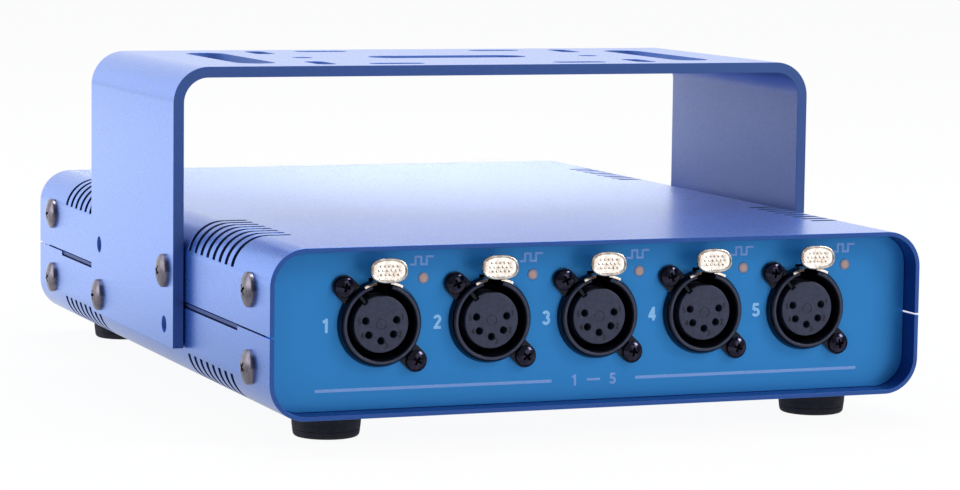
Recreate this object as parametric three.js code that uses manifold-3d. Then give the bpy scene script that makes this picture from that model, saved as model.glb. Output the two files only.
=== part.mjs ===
// A DMX splitter: a blue metal case, one rack unit high, with five five-pin outputs, hung in a yoke.
// Millimetres, +Z up, the outputs face -Y. The origin lies on the ground below the case's centre.
// Inside the assembly, y counts from the case's front rim and z from its mid-height.
import * as THREE from "three";
import { mergeVertices } from "three/addons/utils/BufferGeometryUtils.js";
import Module from "manifold-3d";

const wasm = await Module();
wasm.setup();

// Case: two bent covers
const caseWidth = 186;
const caseHeight = 44.5;
const caseDepth = 242;
const coverWall = 1.2;
const coverCornerRadius = 9.8;

// Joint line along the sides, wider between the end zones
const seamDrop = 0.3;
const seamGap = 0.45;
const seamSlotHeight = 1.7;
const seamEndZone = 28;

// Rails behind the joint line, each with a tongue that shows in it
const railThickness = 2;
const railHeight = 23;
const tongueHeight = 0.9;
const tongueReach = 0.8;

// Vents over the long corners
const ventsPerCorner = 8;
const ventPitch = 5.65;
const ventWidth = 2.2;
const ventInset = 33.5;
const ventStartHeight = 14.2;
const ventReach = 16.3;

// End panels, sunk into the case, with a folded flange at each side
const panelRecess = 6.5;
const panelThickness = 1.5;
const panelGap = 0.12;
const flangeLength = 18;
const flangeHeight = 24.6;

// Screws of the case and the yoke
const caseScrewInset = 16.9;
const caseScrewHeight = 10.1;
const screwHeadRadius = 4.65;
const screwHeadHeight = 2.2;
const screwHeadRim = 0.5;
const caseScrewRadius = 1.4;
const caseScrewLength = 6;
const yokeScrewRadius = 1.9;
const yokeScrewLength = 9;
const screwHoleGap = 0.3;

// Yoke: a flat bar bent over the case
const yokeThickness = 3;
const yokeWidth = 88;
const yokeSideGap = 0.35;
const yokeBendRadius = 10;
const yokeRise = 64.3;
const yokeLegDrop = 13.2;
const yokeHoleSpacing = 70;
const yokeHoleHeight = 7.5;
const yokeHoleRadius = 2.4;

// Cut-outs in the yoke's bridge, placed from its centre
const clampSlotLength = 60;
const clampSlotWidth = 11.5;
const clampSlotSide = 67;
const centreSlotLength = 49;
const centreSlotWidth = 13;
const boltSlotLength = 16.5;
const boltSlotWidth = 6;
const crossSlotSide = 28;
const crossSlotAhead = 34;
const longSlotSide = 49;
const longSlotAhead = 28.5;
const boltHoleRadius = 3;
const boltHoleSide = 45;

// Rubber feet
const footHeight = 7.2;
const footTopRadius = 9.35;
const footBottomRadius = 8.7;
const footEdgeRadius = 1.4;
const footRecessRadius = 4;
const footRecessDepth = 3.6;
const footSideInset = 22;
const footEndInset = 20;

// Five-pin sockets: radii from the socket's axis, depths from the panel's face
const socketCount = 5;
const socketPitchShare = 0.1648;
const socketRise = 1.45;
const boreRadius = 9.5;
const ringWall = 1.6;
const ringProud = 2.6;
const ringChamfer = 0.7;
const barrelWall = 1.5;
const barrelLength = 12;
const boreDepth = 10;
const cutoutGap = 0.2;
const earOffset = 9.9;
const earRadius = 3.1;
const earThickness = 1;
const earAngle = 45;
const carrierWidth = 14;
const carrierHeight = 14;
const carrierLength = 4;
const socketFootWidth = 6;
const socketDrop = 10.6;

// Insert with its contacts
const insertRadius = 7.5;
const insertChamfer = 0.33;
const insertSetback = 0.9;
const contactRadius = 0.97;
const contactCircle = 4.35;
const contactDepth = 9;
const contactAngles = [-90, -39, -141, 13, 167];
const keyAngle = 127;
const keyWidth = 0.9;
const keyReach = 1.4;
const keySetback = 1.6;

// Plug pins of the input
const pinRadius = 0.95;
const pinSetback = 1.2;
const pinTaper = 0.4;
const inputFloorRise = 2;
const catchWidth = 4;
const catchDepth = 0.8;

// Socket screws
const socketScrewHeadRadius = 2.6;
const socketScrewHeadHeight = 1.5;
const socketScrewRadius = 1.25;
const socketScrewLength = 6;

// Push latch, a rocking lever in a notch at the top of the ring
const latchWidth = 5.4;
const latchSideGap = 0.3;
const latchThickness = 0.9;
const latchPivotSetback = 2.8;
const latchPivotRise = 0.55;
const latchFrontRise = 2.3;
const latchTailLength = 5.4;
const hookDrop = 0.7;
const hookLength = 1.5;
const trunnionRadius = 0.55;
const trunnionReach = 0.45;
const trunnionGap = 0.12;
const tabWidth = 10.2;
const tabHeight = 6.1;
const tabThickness = 1;
const tabRise = 14.35;
const tabStandOff = 5.4;
const tabTilt = 12;
const tabFullness = 0.8;
const wingThickness = 0.5;
const wingHeight = 0.5;
const wingInset = 0.2;
const wingStartAngle = 9;
const wingEndAngle = 27;
const notchDepth = 9.6;
const notchRelief = 0.9;

// Indicator lamps
const lampSideShare = 0.394;
const lampRise = 11.5;
const lampRadius = 1.5;
const lampProud = 0.25;
const lampLength = 5.3;
const lampRimRadius = 1.9;
const lampRimLength = 1;
const lampHoleGap = 0.15;
const leadPitch = 1.27;
const leadSize = 0.5;
const leadSetback = 16;
const leadStep = 2.5;

// Main board and what stands on it
const boardThickness = 1.6;
const boardMargin = 5;
const boardEdgeGap = 0.3;
const boardFrontDepth = 92;
const standoffRadius = 3;
const standoffInset = 5;
const chipHeight = 3.5;
const chipLength = 9.5;
const chipWidth = 6.4;
const converterHeight = 9;
const converterLength = 19.5;
const converterWidth = 7;
const capacitorRadius = 5;
const capacitorHeight = 16;
const partRowStart = 12;
const partRowGap = 4;

// Power supply
const powerBoardWidth = 62;
const powerBoardDepth = 84;
const powerBoardBack = 40;
const powerBoardDrop = 5.5;
const powerStemGap = 8;
const coreWidth = 28;
const coreDepth = 24;
const coreHeight = 22;
const bobbinWidth = 20;
const bobbinDepth = 34;
const bobbinHeight = 14;
const bulkRadius = 9;
const bulkHeight = 26;
const sinkLength = 40;
const sinkHeight = 25;
const sinkWidth = 12;
const sinkFins = 4;
const sinkFinThickness = 1.5;

// Mains inlet
const inletInset = 41;
const inletFlangeWidth = 50;
const inletFlangeHeight = 24;
const inletFlangeThickness = 3;
const inletBodyWidth = 27;
const inletBodyHeight = 19.5;
const inletBodyLength = 20;
const inletCavityWidth = 24.4;
const inletCavityHeight = 16.6;
const inletCavityDepth = 16;
const inletCavityChamfer = 3.5;
const inletScrewSpacing = 40;
const inletCutoutGap = 0.3;
const bladeWidth = 2;
const bladeHeight = 4;
const bladeSpacing = 14;
const bladeLength = 14;
const bladeRise = 2;
const terminalThickness = 0.8;
const terminalLength = 7;

// Facets
const cornerSteps = 5;
const innerCornerSteps = 4;
const bendSteps = 8;
const slotEndSteps = 5;
const socketSides = 20;
const screwSides = 10;
const holeSides = 8;
const smallSides = 6;
const tabSides = 20;
const footSides = 16;
const domeSteps = 2;
const screwHeadSides = 12;
const earEndSteps = 4;
const edgeSteps = 2;

// Working values
const overrun = 1;
const weld = 1e-4;
const quarterTurn = 90;
const halfTurn = 2 * quarterTurn;
const fullTurn = 2 * halfTurn;
const degree = Math.PI / halfTurn;
const halfWidth = caseWidth / 2;
const halfHeight = caseHeight / 2;
const innerHalfWidth = halfWidth - coverWall;
const innerHalfHeight = halfHeight - coverWall;
const bracketMid = caseDepth / 2;
const ringRadius = boreRadius + ringWall;
const barrelRadius = boreRadius + barrelWall;
const boardTop = socketRise - socketDrop;
const boardBottom = boardTop - boardThickness;
const boardHalf = innerHalfWidth - boardMargin;
const boardFront = panelRecess + barrelLength + boardEdgeGap;
const powerBoardBottom = boardBottom - powerBoardDrop;
const powerRight = boardHalf;
const powerLeft = powerRight - powerBoardWidth;
const powerRear = caseDepth - powerBoardBack;
const powerFront = powerRear - powerBoardDepth;
const footSide = halfWidth - footSideInset;
const inletSide = halfWidth - inletInset;
const socketPitch = caseWidth * socketPitchShare;
const lampSide = socketPitch * lampSideShare;
const rearSockets = { input: -2 * socketPitch, link: -socketPitch };

// Paints and plastics
function material(color, roughness, metalness) {
  return new THREE.MeshStandardMaterial({ color, roughness, metalness });
}
const coverPaint = material(0x8f9ee6, 0.38, 0.55);
const panelPaint = material(0x2f78bb, 0.5, 0.1);
const railPaint = material(0x7f90d8, 0.4, 0.5);
const screwNickel = material(0xb9b3b6, 0.3, 1);
const latchChrome = material(0xe8e6e2, 0.12, 1);
const socketBlack = material(0x0c0e14, 0.25, 0);
const insertGrey = material(0x4b4d63, 0.55, 0);
const blackScrewFinish = material(0x14151c, 0.3, 0.6);
const lampResin = material(0xb79c94, 0.35, 0);
const footRubber = material(0x1c1b26, 0.75, 0);
const boardGreen = material(0x1f5b3a, 0.6, 0);
const supplyGreen = material(0x2a4f38, 0.6, 0);

// A closed three.js geometry as a solid that can be joined and cut
function solid(geometry) {
  const bare = geometry.clone();
  bare.deleteAttribute("normal");
  bare.deleteAttribute("uv");
  const merged = mergeVertices(bare, weld);
  const corners = merged.index.array;
  const kept = [];
  for (let i = 0; i < corners.length; i += 3) {
    const [a, b, c] = [corners[i], corners[i + 1], corners[i + 2]];
    if (a !== b && b !== c && c !== a) kept.push(a, b, c);
  }
  return new wasm.Manifold(
    new wasm.Mesh({
      numProp: 3,
      vertProperties: merged.attributes.position.array,
      triVerts: new Uint32Array(kept),
    }),
  );
}

function join(solids) {
  return solids.reduce((whole, next) => whole.add(next));
}

function cut(body, tools) {
  return body.subtract(join(tools));
}

// The solid as a flat-shaded geometry
function geometryOf(body) {
  const { vertProperties, triVerts } = body.getMesh();
  const indexed = new THREE.BufferGeometry();
  indexed.setAttribute("position", new THREE.BufferAttribute(vertProperties, 3));
  indexed.setIndex(new THREE.BufferAttribute(triVerts, 1));
  const flat = indexed.toNonIndexed();
  flat.computeVertexNormals();
  return flat;
}

function box(x0, x1, y0, y1, z0, z1) {
  const block = new THREE.BoxGeometry(x1 - x0, y1 - y0, z1 - z0);
  return solid(block.translate((x0 + x1) / 2, (y0 + y1) / 2, (z0 + z1) / 2));
}

function point(x, y) {
  return new THREE.Vector2(x, y);
}

// Points along an arc, with its angles in degrees
function arc(cx, cy, radius, from, to, steps) {
  return Array.from({ length: steps + 1 }, (_, i) => {
    const angle = (from + ((to - from) * i) / steps) * degree;
    return point(cx + radius * Math.cos(angle), cy + radius * Math.sin(angle));
  });
}

function extruded(outline, length) {
  return new THREE.ExtrudeGeometry(new THREE.Shape(outline), {
    depth: length,
    bevelEnabled: false,
  });
}

// Prisms: an outline in the plane across the named axis, run from one place to another along it
function prismX(outline, from, to) {
  const turn = new THREE.Matrix4().makeBasis(
    new THREE.Vector3(0, 1, 0),
    new THREE.Vector3(0, 0, 1),
    new THREE.Vector3(1, 0, 0),
  );
  return solid(extruded(outline, to - from).applyMatrix4(turn).translate(from, 0, 0));
}

function prismY(outline, from, to) {
  return solid(extruded(outline, to - from).rotateX(Math.PI / 2).translate(0, to, 0));
}

function prismZ(outline, from, to) {
  return solid(extruded(outline, to - from).translate(0, 0, from));
}

// A slot's outline with round ends, along the first axis or the second
function slotOutline(cx, cy, length, width, upright) {
  const radius = width / 2;
  const half = length / 2 - radius;
  const [dx, dy, turn] = upright ? [0, half, quarterTurn] : [half, 0, 0];
  return [
    ...arc(cx + dx, cy + dy, radius, turn - quarterTurn, turn + quarterTurn, slotEndSteps),
    ...arc(cx - dx, cy - dy, radius, turn + quarterTurn, turn + halfTurn + quarterTurn, slotEndSteps),
  ];
}

// A rectangle's outline with its corners rounded by arcs
function roundedOutline(halfX, halfY, radius, steps) {
  const cx = halfX - radius;
  const cy = halfY - radius;
  return [
    ...arc(cx, cy, radius, 0, quarterTurn, steps),
    ...arc(-cx, cy, radius, quarterTurn, halfTurn, steps),
    ...arc(-cx, -cy, radius, halfTurn, halfTurn + quarterTurn, steps),
    ...arc(cx, -cy, radius, -quarterTurn, 0, steps),
  ];
}

// A profile of radius against length, turned about Y; its outside runs towards +Y
function turned(profile, sides) {
  const points = profile.map(([radius, along]) => point(radius, along));
  return new THREE.LatheGeometry(points, sides);
}

function rodX(radius, from, to, y, z, sides) {
  const rod = new THREE.CylinderGeometry(radius, radius, to - from, sides);
  return solid(rod.rotateZ(Math.PI / 2).translate((from + to) / 2, y, z));
}

function rodY(radius, from, to, x, z, sides) {
  const rod = new THREE.CylinderGeometry(radius, radius, to - from, sides);
  return solid(rod.translate(x, (from + to) / 2, z));
}

function rodZ(radius, from, to, x, y, sides) {
  const rod = new THREE.CylinderGeometry(radius, radius, to - from, sides);
  return solid(rod.rotateX(Math.PI / 2).translate(x, y, (from + to) / 2));
}

// The hole that clears a shaft of this radius all round its facets
function clearHole(radius, sides = holeSides) {
  return (radius + screwHoleGap) / Math.cos(Math.PI / sides);
}

// Where the case screws sit: one above and one below the joint line at each end of each side
const caseScrewPlaces = [];
for (const side of [-1, 1]) {
  for (const end of [0, 1]) {
    for (const level of [-1, 1]) {
      const [sideName, endName] = [side < 0 ? "left" : "right", end ? "rear" : "front"];
      caseScrewPlaces.push({
        name: `case_screw_${sideName}_${endName}_${level < 0 ? "lower" : "upper"}`,
        side,
        y: end ? caseDepth - caseScrewInset : caseScrewInset,
        z: level * caseScrewHeight,
      });
    }
  }
}

// The yoke's screws use one upper and one lower hole on each side
const yokeScrewPlaces = [];
for (const side of [-1, 1]) {
  for (const level of [-1, 1]) {
    yokeScrewPlaces.push({
      name: `yoke_screw_${side < 0 ? "left" : "right"}_${level < 0 ? "lower" : "upper"}`,
      side,
      y: bracketMid - (level * yokeHoleSpacing) / 2,
      z: level * yokeHoleHeight,
    });
  }
}

const socketPlaces = Array.from({ length: socketCount }, (_, i) => ({
  number: i + 1,
  x: (i - (socketCount - 1) / 2) * socketPitch,
}));

// Covers
function coverOutline(edge) {
  const cx = halfWidth - coverCornerRadius;
  const cz = halfHeight - coverCornerRadius;
  const innerRadius = coverCornerRadius - coverWall;
  return [
    point(halfWidth, edge),
    ...arc(cx, cz, coverCornerRadius, 0, quarterTurn, cornerSteps),
    ...arc(-cx, cz, coverCornerRadius, quarterTurn, halfTurn, cornerSteps),
    point(-halfWidth, edge),
    point(-innerHalfWidth, edge),
    ...arc(-cx, cz, innerRadius, halfTurn, quarterTurn, innerCornerSteps),
    ...arc(cx, cz, innerRadius, quarterTurn, 0, innerCornerSteps),
    point(innerHalfWidth, edge),
  ];
}

function ventTools(level) {
  const tools = [];
  const low = level * ventStartHeight;
  const high = level * (halfHeight + overrun);
  for (const side of [-1, 1]) {
    const inside = side * (halfWidth - ventReach);
    const outside = side * (halfWidth + overrun);
    for (let i = 0; i < ventsPerCorner; i += 1) {
      const fromEnd = ventInset + i * ventPitch;
      for (const y of [fromEnd, caseDepth - fromEnd]) {
        tools.push(
          box(
            Math.min(inside, outside),
            Math.max(inside, outside),
            y - ventWidth / 2,
            y + ventWidth / 2,
            Math.min(low, high),
            Math.max(low, high),
          ),
        );
      }
    }
  }
  return tools;
}

function sideHole(place, radius) {
  const from = Math.min(place.side * (innerHalfWidth - overrun), place.side * (halfWidth + overrun));
  const to = from + coverWall + 2 * overrun;
  return rodX(radius, from, to, place.y, place.z, holeSides);
}

function coverHoles(level) {
  const onCover = (place) => place.z * level > 0;
  return [
    ...caseScrewPlaces.filter(onCover).map((place) => sideHole(place, clearHole(caseScrewRadius))),
    ...yokeScrewPlaces.filter(onCover).map((place) => sideHole(place, clearHole(yokeScrewRadius))),
  ];
}

function topCover() {
  const shell = prismY(coverOutline(-seamDrop), 0, caseDepth);
  return cut(shell, [...ventTools(1), ...coverHoles(1)]);
}

// Standoffs rise from the bottom cover to the boards
const standoffPlaces = [
  [-boardHalf + standoffInset, boardFront + standoffInset, boardBottom],
  [boardHalf - standoffInset, boardFront + standoffInset, boardBottom],
  [-boardHalf + standoffInset, boardFront + boardFrontDepth - standoffInset, boardBottom],
  [boardHalf - standoffInset, boardFront + boardFrontDepth - standoffInset, boardBottom],
  [-boardHalf + standoffInset, caseDepth - boardFront - standoffInset, boardBottom],
  [powerLeft - powerStemGap - standoffInset, caseDepth - boardFront - standoffInset, boardBottom],
  [powerLeft + standoffInset, powerFront + standoffInset, powerBoardBottom],
  [powerRight - standoffInset, powerFront + standoffInset, powerBoardBottom],
  [powerLeft + standoffInset, powerRear - standoffInset, powerBoardBottom],
  [powerRight - standoffInset, powerRear - standoffInset, powerBoardBottom],
];

function bottomCover() {
  const outline = coverOutline(seamDrop + seamGap).map(({ x, y }) => point(x, -y));
  const shell = prismY(outline, 0, caseDepth);
  const slots = [-1, 1].map((side) =>
    box(
      side * halfWidth - coverWall - overrun,
      side * halfWidth + coverWall + overrun,
      seamEndZone,
      caseDepth - seamEndZone,
      -seamDrop - seamSlotHeight,
      overrun,
    ),
  );
  const standoffs = standoffPlaces.map(([x, y, top]) =>
    rodZ(standoffRadius, -halfHeight + coverWall / 2, top, x, y, smallSides),
  );
  return join([cut(shell, [...slots, ...ventTools(-1), ...coverHoles(-1)]), ...standoffs]);
}

// Side rails
function sideRail(side) {
  const from = side > 0 ? innerHalfWidth - railThickness : -innerHalfWidth;
  const bar = box(
    from,
    from + railThickness,
    seamEndZone,
    caseDepth - seamEndZone,
    -railHeight / 2,
    railHeight / 2,
  );
  const tongueMid = -seamDrop - seamSlotHeight / 2;
  const tongueFrom = side > 0 ? innerHalfWidth - railThickness : -innerHalfWidth - tongueReach;
  const tongue = box(
    tongueFrom,
    tongueFrom + railThickness + tongueReach,
    seamEndZone,
    caseDepth - seamEndZone,
    tongueMid - tongueHeight / 2,
    tongueMid + tongueHeight / 2,
  );
  const holes = yokeScrewPlaces
    .filter((place) => place.side === side)
    .map((place) =>
      rodX(
        clearHole(yokeScrewRadius),
        from - overrun,
        from + railThickness + overrun,
        place.y,
        place.z,
        holeSides,
      ),
    );
  return cut(join([bar, tongue]), holes);
}

// End panels: the plate lies from y = 0 to its thickness, its flanges run on towards +Y
function panelBlank() {
  const halfX = innerHalfWidth - panelGap;
  const halfZ = innerHalfHeight - panelGap;
  const radius = coverCornerRadius - coverWall - panelGap;
  const plate = prismY(roundedOutline(halfX, halfZ, radius, innerCornerSteps), 0, panelThickness);
  const flanges = [-1, 1].map((side) => {
    const from = side > 0 ? halfX - panelThickness : -halfX;
    return box(from, from + panelThickness, 0, flangeLength, -flangeHeight / 2, flangeHeight / 2);
  });
  const screwY = caseScrewInset - panelRecess;
  const holes = [-1, 1].map((level) =>
    rodX(
      clearHole(caseScrewRadius),
      -halfWidth,
      halfWidth,
      screwY,
      level * caseScrewHeight,
      holeSides,
    ),
  );
  return cut(join([plate, ...flanges]), holes);
}

// The hole that a socket needs, with its screw holes and, for a latch, a relief above
function socketCutout(x, withLatch) {
  const from = -overrun;
  const to = panelThickness + overrun;
  const tools = [rodY(barrelRadius + cutoutGap, from, to, x, socketRise, socketSides)];
  for (const end of [-1, 1]) {
    tools.push(
      rodY(
        clearHole(socketScrewRadius, smallSides),
        from,
        to,
        x + end * earOffset,
        socketRise - end * earOffset,
        smallSides,
      ),
    );
  }
  if (withLatch) {
    const reliefHalf = latchWidth / 2 + latchSideGap;
    const reliefTop = socketRise + ringRadius + notchRelief;
    tools.push(box(x - reliefHalf, x + reliefHalf, from, to, socketRise, reliefTop));
  }
  return tools;
}

function lampHole(x) {
  const radius = (lampRadius + lampHoleGap) / Math.cos(Math.PI / screwSides);
  const lampX = x + lampSide;
  return rodY(radius, -overrun, panelThickness + overrun, lampX, socketRise + lampRise, screwSides);
}

function frontPanel() {
  const tools = socketPlaces.flatMap(({ x }) => [...socketCutout(x, true), lampHole(x)]);
  return cut(panelBlank(), tools);
}

// Built as seen from behind, so its sides are swapped once the mesh is turned
function rearPanel() {
  const tools = [
    ...socketCutout(-rearSockets.input, false),
    ...socketCutout(-rearSockets.link, true),
    box(
      -inletSide - inletBodyWidth / 2 - inletCutoutGap,
      -inletSide + inletBodyWidth / 2 + inletCutoutGap,
      -overrun,
      panelThickness + overrun,
      -inletBodyHeight / 2 - inletCutoutGap,
      inletBodyHeight / 2 + inletCutoutGap,
    ),
  ];
  for (const end of [-1, 1]) {
    const x = -inletSide + (end * inletScrewSpacing) / 2;
    tools.push(
      rodY(clearHole(socketScrewRadius), -overrun, panelThickness + overrun, x, 0, holeSides),
    );
  }
  return cut(panelBlank(), tools);
}

// Yoke
function yokeOutline() {
  const inner = halfWidth + yokeSideGap;
  const outer = inner + yokeThickness;
  const cx = outer - yokeBendRadius;
  const cz = yokeRise - yokeBendRadius;
  const innerRadius = yokeBendRadius - yokeThickness;
  return [
    point(outer, -yokeLegDrop),
    ...arc(cx, cz, yokeBendRadius, 0, quarterTurn, bendSteps),
    ...arc(-cx, cz, yokeBendRadius, quarterTurn, halfTurn, bendSteps),
    point(-outer, -yokeLegDrop),
    point(-inner, -yokeLegDrop),
    ...arc(-cx, cz, innerRadius, halfTurn, quarterTurn, bendSteps),
    ...arc(cx, cz, innerRadius, quarterTurn, 0, bendSteps),
    point(inner, -yokeLegDrop),
  ];
}

function bridgeSlots() {
  const outlines = [
    slotOutline(0, bracketMid, centreSlotLength, centreSlotWidth, false),
  ];
  for (const side of [-1, 1]) {
    outlines.push(
      slotOutline(side * clampSlotSide, bracketMid, clampSlotLength, clampSlotWidth, true),
      arc(side * boltHoleSide, bracketMid, boltHoleRadius, 0, fullTurn, screwSides).slice(1),
    );
    for (const end of [-1, 1]) {
      const crossY = bracketMid + end * crossSlotAhead;
      const longY = bracketMid + end * longSlotAhead;
      outlines.push(
        slotOutline(side * crossSlotSide, crossY, boltSlotLength, boltSlotWidth, false),
        slotOutline(side * longSlotSide, longY, boltSlotLength, boltSlotWidth, true),
      );
    }
  }
  const from = yokeRise - yokeThickness - overrun;
  return outlines.map((outline) => prismZ(outline, from, yokeRise + overrun));
}

function legHoles() {
  const reach = halfWidth + yokeSideGap + yokeThickness + overrun;
  const holes = [];
  for (const along of [-1, 1]) {
    for (const level of [-1, 1]) {
      const y = bracketMid + (along * yokeHoleSpacing) / 2;
      holes.push(rodX(yokeHoleRadius, -reach, reach, y, level * yokeHoleHeight, holeSides));
    }
  }
  return holes;
}

function yokeBracket() {
  const bar = prismY(yokeOutline(), bracketMid - yokeWidth / 2, bracketMid + yokeWidth / 2);
  return cut(bar, [...bridgeSlots(), ...legHoles()]);
}

// A pan-head screw whose head stands on y = 0 and points to +Y
function panScrew(headRadius, headHeight, rim, shankRadius, shankLength, sides) {
  const dome = [];
  for (let i = 0; i <= domeSteps; i += 1) {
    const angle = ((i / domeSteps) * Math.PI) / 2;
    dome.push([headRadius * Math.cos(angle), rim + (headHeight - rim) * Math.sin(angle)]);
  }
  const profile = [
    [0, -shankLength],
    [shankRadius, -shankLength],
    [shankRadius, 0],
    [headRadius, 0],
    ...dome.slice(0, -1),
    [0, headHeight],
  ];
  return turned(profile, sides);
}

// Sockets
function earOutline() {
  return [
    ...arc(-earOffset, earOffset, earRadius, earAngle, earAngle + halfTurn, earEndSteps),
    ...arc(earOffset, -earOffset, earRadius, earAngle - halfTurn, earAngle, earEndSteps),
  ];
}

function socketBody(floor) {
  const tube = turned(
    [
      [0, floor],
      [boreRadius, floor],
      [boreRadius, -ringProud],
      [ringRadius - ringChamfer, -ringProud],
      [ringRadius, -ringProud + ringChamfer],
      [ringRadius, 0],
      [barrelRadius, 0],
      [barrelRadius, barrelLength],
      [0, barrelLength],
    ],
    socketSides,
  );
  const bore = rodY(boreRadius, -ringProud - overrun, floor, 0, 0, socketSides);
  const ears = prismY(earOutline(), -earThickness, 0).subtract(bore);
  const carrierTop = carrierHeight / 2;
  const carrierEnd = barrelLength + carrierLength;
  const carrier = box(
    -carrierWidth / 2,
    carrierWidth / 2,
    barrelLength - barrelWall,
    carrierEnd,
    -carrierTop,
    carrierTop,
  );
  const foot = box(
    -socketFootWidth / 2,
    socketFootWidth / 2,
    barrelLength,
    carrierEnd,
    -socketDrop,
    -carrierTop + overrun,
  );
  return join([solid(tube), ears, carrier, foot]);
}

// Holes through the ears, with a pocket in the ring's side for each screw head
function earHoles() {
  return [-1, 1].flatMap((end) => {
    const [x, z] = [end * earOffset, -end * earOffset];
    const ringFront = -ringProud - overrun;
    return [
      rodY(clearHole(socketScrewRadius, smallSides), ringFront, overrun, x, z, smallSides),
      rodY(clearHole(socketScrewHeadRadius), ringFront, -earThickness, x, z, holeSides),
    ];
  });
}

const latchPivotHeight = boreRadius + latchPivotRise;

function outputShell() {
  const notchHalf = latchWidth / 2 + latchSideGap;
  const notchBottom = boreRadius * Math.cos(Math.PI / socketSides) - latchPivotRise;
  const notch = box(
    -notchHalf,
    notchHalf,
    -ringProud - overrun,
    notchDepth,
    notchBottom,
    ringRadius + overrun,
  );
  const pocketReach = notchHalf + trunnionReach;
  const pocket = rodX(
    trunnionRadius + trunnionGap,
    -pocketReach,
    pocketReach,
    latchPivotSetback,
    latchPivotHeight,
    smallSides,
  );
  return cut(socketBody(boreDepth), [notch, pocket, ...earHoles()]);
}

function contactPlaces() {
  return contactAngles.map((angle) => [
    contactCircle * Math.cos(angle * degree),
    contactCircle * Math.sin(angle * degree),
  ]);
}

function outputInsert() {
  const front = -ringProud + insertSetback;
  const core = turned(
    [
      [0, front],
      [insertRadius - insertChamfer, front],
      [insertRadius, front + insertChamfer],
      [insertRadius, boreDepth],
      [0, boreDepth],
    ],
    socketSides,
  );
  const key = new THREE.BoxGeometry(keyReach * 2, boreDepth - front - keySetback, keyWidth);
  key.translate(insertRadius, (boreDepth + front + keySetback) / 2, 0);
  key.rotateY(-keyAngle * degree);
  const holes = contactPlaces().map(([x, z]) =>
    rodY(contactRadius, front - overrun, front + contactDepth, x, z, smallSides),
  );
  return cut(join([solid(core), solid(key)]), holes);
}

// The latch: tab in front, arm through the ring, hook behind; pressing the tab lifts the hook
function latchArm() {
  const half = latchThickness / 2;
  const front = -ringProud - tabStandOff;
  const tail = latchPivotSetback + latchTailLength;
  const low = latchPivotHeight - half;
  const hookLow = boreRadius - hookDrop;
  return prismX(
    [
      point(tail, latchPivotHeight + half),
      point(latchPivotSetback, latchPivotHeight + half),
      point(front, latchPivotHeight + latchFrontRise + half),
      point(front, latchPivotHeight + latchFrontRise - half),
      point(latchPivotSetback, low),
      point(tail - hookLength, low),
      point(tail - hookLength / 2, hookLow),
      point(tail, hookLow),
    ],
    -latchWidth / 2,
    latchWidth / 2,
  );
}

function latchTab() {
  const outline = Array.from({ length: tabSides }, (_, i) => {
    const angle = (i / tabSides) * fullTurn * degree;
    const [across, up] = [Math.cos(angle), Math.sin(angle)];
    return point(
      (tabWidth / 2) * Math.sign(across) * Math.abs(across) ** tabFullness,
      (tabHeight / 2) * Math.sign(up) * Math.abs(up) ** tabFullness,
    );
  });
  const plate = extruded(outline, tabThickness).rotateX(Math.PI / 2);
  plate.translate(0, tabThickness / 2, 0).rotateX(-tabTilt * degree);
  const lean = (tabHeight / 2) * Math.sin(tabTilt * degree);
  return solid(plate.translate(0, -ringProud - tabStandOff + lean, tabRise));
}

function latchWing(side) {
  const outer = ringRadius + wingHeight - wingInset;
  const from = quarterTurn - side * wingStartAngle;
  const to = quarterTurn - side * wingEndAngle;
  const outline = [
    ...arc(0, 0, outer, from, to, domeSteps),
    ...arc(0, 0, outer - wingHeight, to, from, domeSteps),
  ];
  const back = -ringProud - latchSideGap;
  return prismY(outline, back - wingThickness, back);
}

function outputLatch() {
  const reach = latchWidth / 2 + latchSideGap + trunnionReach - trunnionGap;
  const trunnion = rodX(
    trunnionRadius,
    -reach,
    reach,
    latchPivotSetback,
    latchPivotHeight,
    smallSides,
  );
  return join([latchArm(), latchTab(), latchWing(-1), latchWing(1), trunnion]);
}

function socketScrew() {
  const rim = screwHeadRim * (socketScrewHeadRadius / screwHeadRadius);
  return panScrew(
    socketScrewHeadRadius,
    socketScrewHeadHeight,
    rim,
    socketScrewRadius,
    socketScrewLength,
    holeSides,
  );
}

// The rear sockets carry their own screws, tightened a little into the ears
function fixedScrews() {
  return [-1, 1].map((end) =>
    solid(
      socketScrew()
        .rotateX(Math.PI)
        .translate(end * earOffset, -earThickness + screwHoleGap, -end * earOffset),
    ),
  );
}

function inputConnector() {
  const floor = boreDepth - inputFloorRise;
  const tip = -ringProud + pinSetback;
  const pins = contactPlaces().map(([x, z]) =>
    solid(
      turned(
        [
          [0, tip],
          [pinRadius - pinTaper, tip],
          [pinRadius, tip + pinTaper],
          [pinRadius, floor + overrun],
          [0, floor + overrun],
        ],
        smallSides,
      ).translate(x, 0, z),
    ),
  );
  const catchSlot = box(
    -catchWidth / 2,
    catchWidth / 2,
    latchPivotSetback,
    latchPivotSetback + catchWidth,
    0,
    boreRadius + catchDepth,
  );
  const body = cut(socketBody(floor), [catchSlot, ...earHoles()]);
  return join([body, ...pins, ...fixedScrews()]);
}

function linkShell() {
  return join([outputShell(), ...fixedScrews()]);
}

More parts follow.
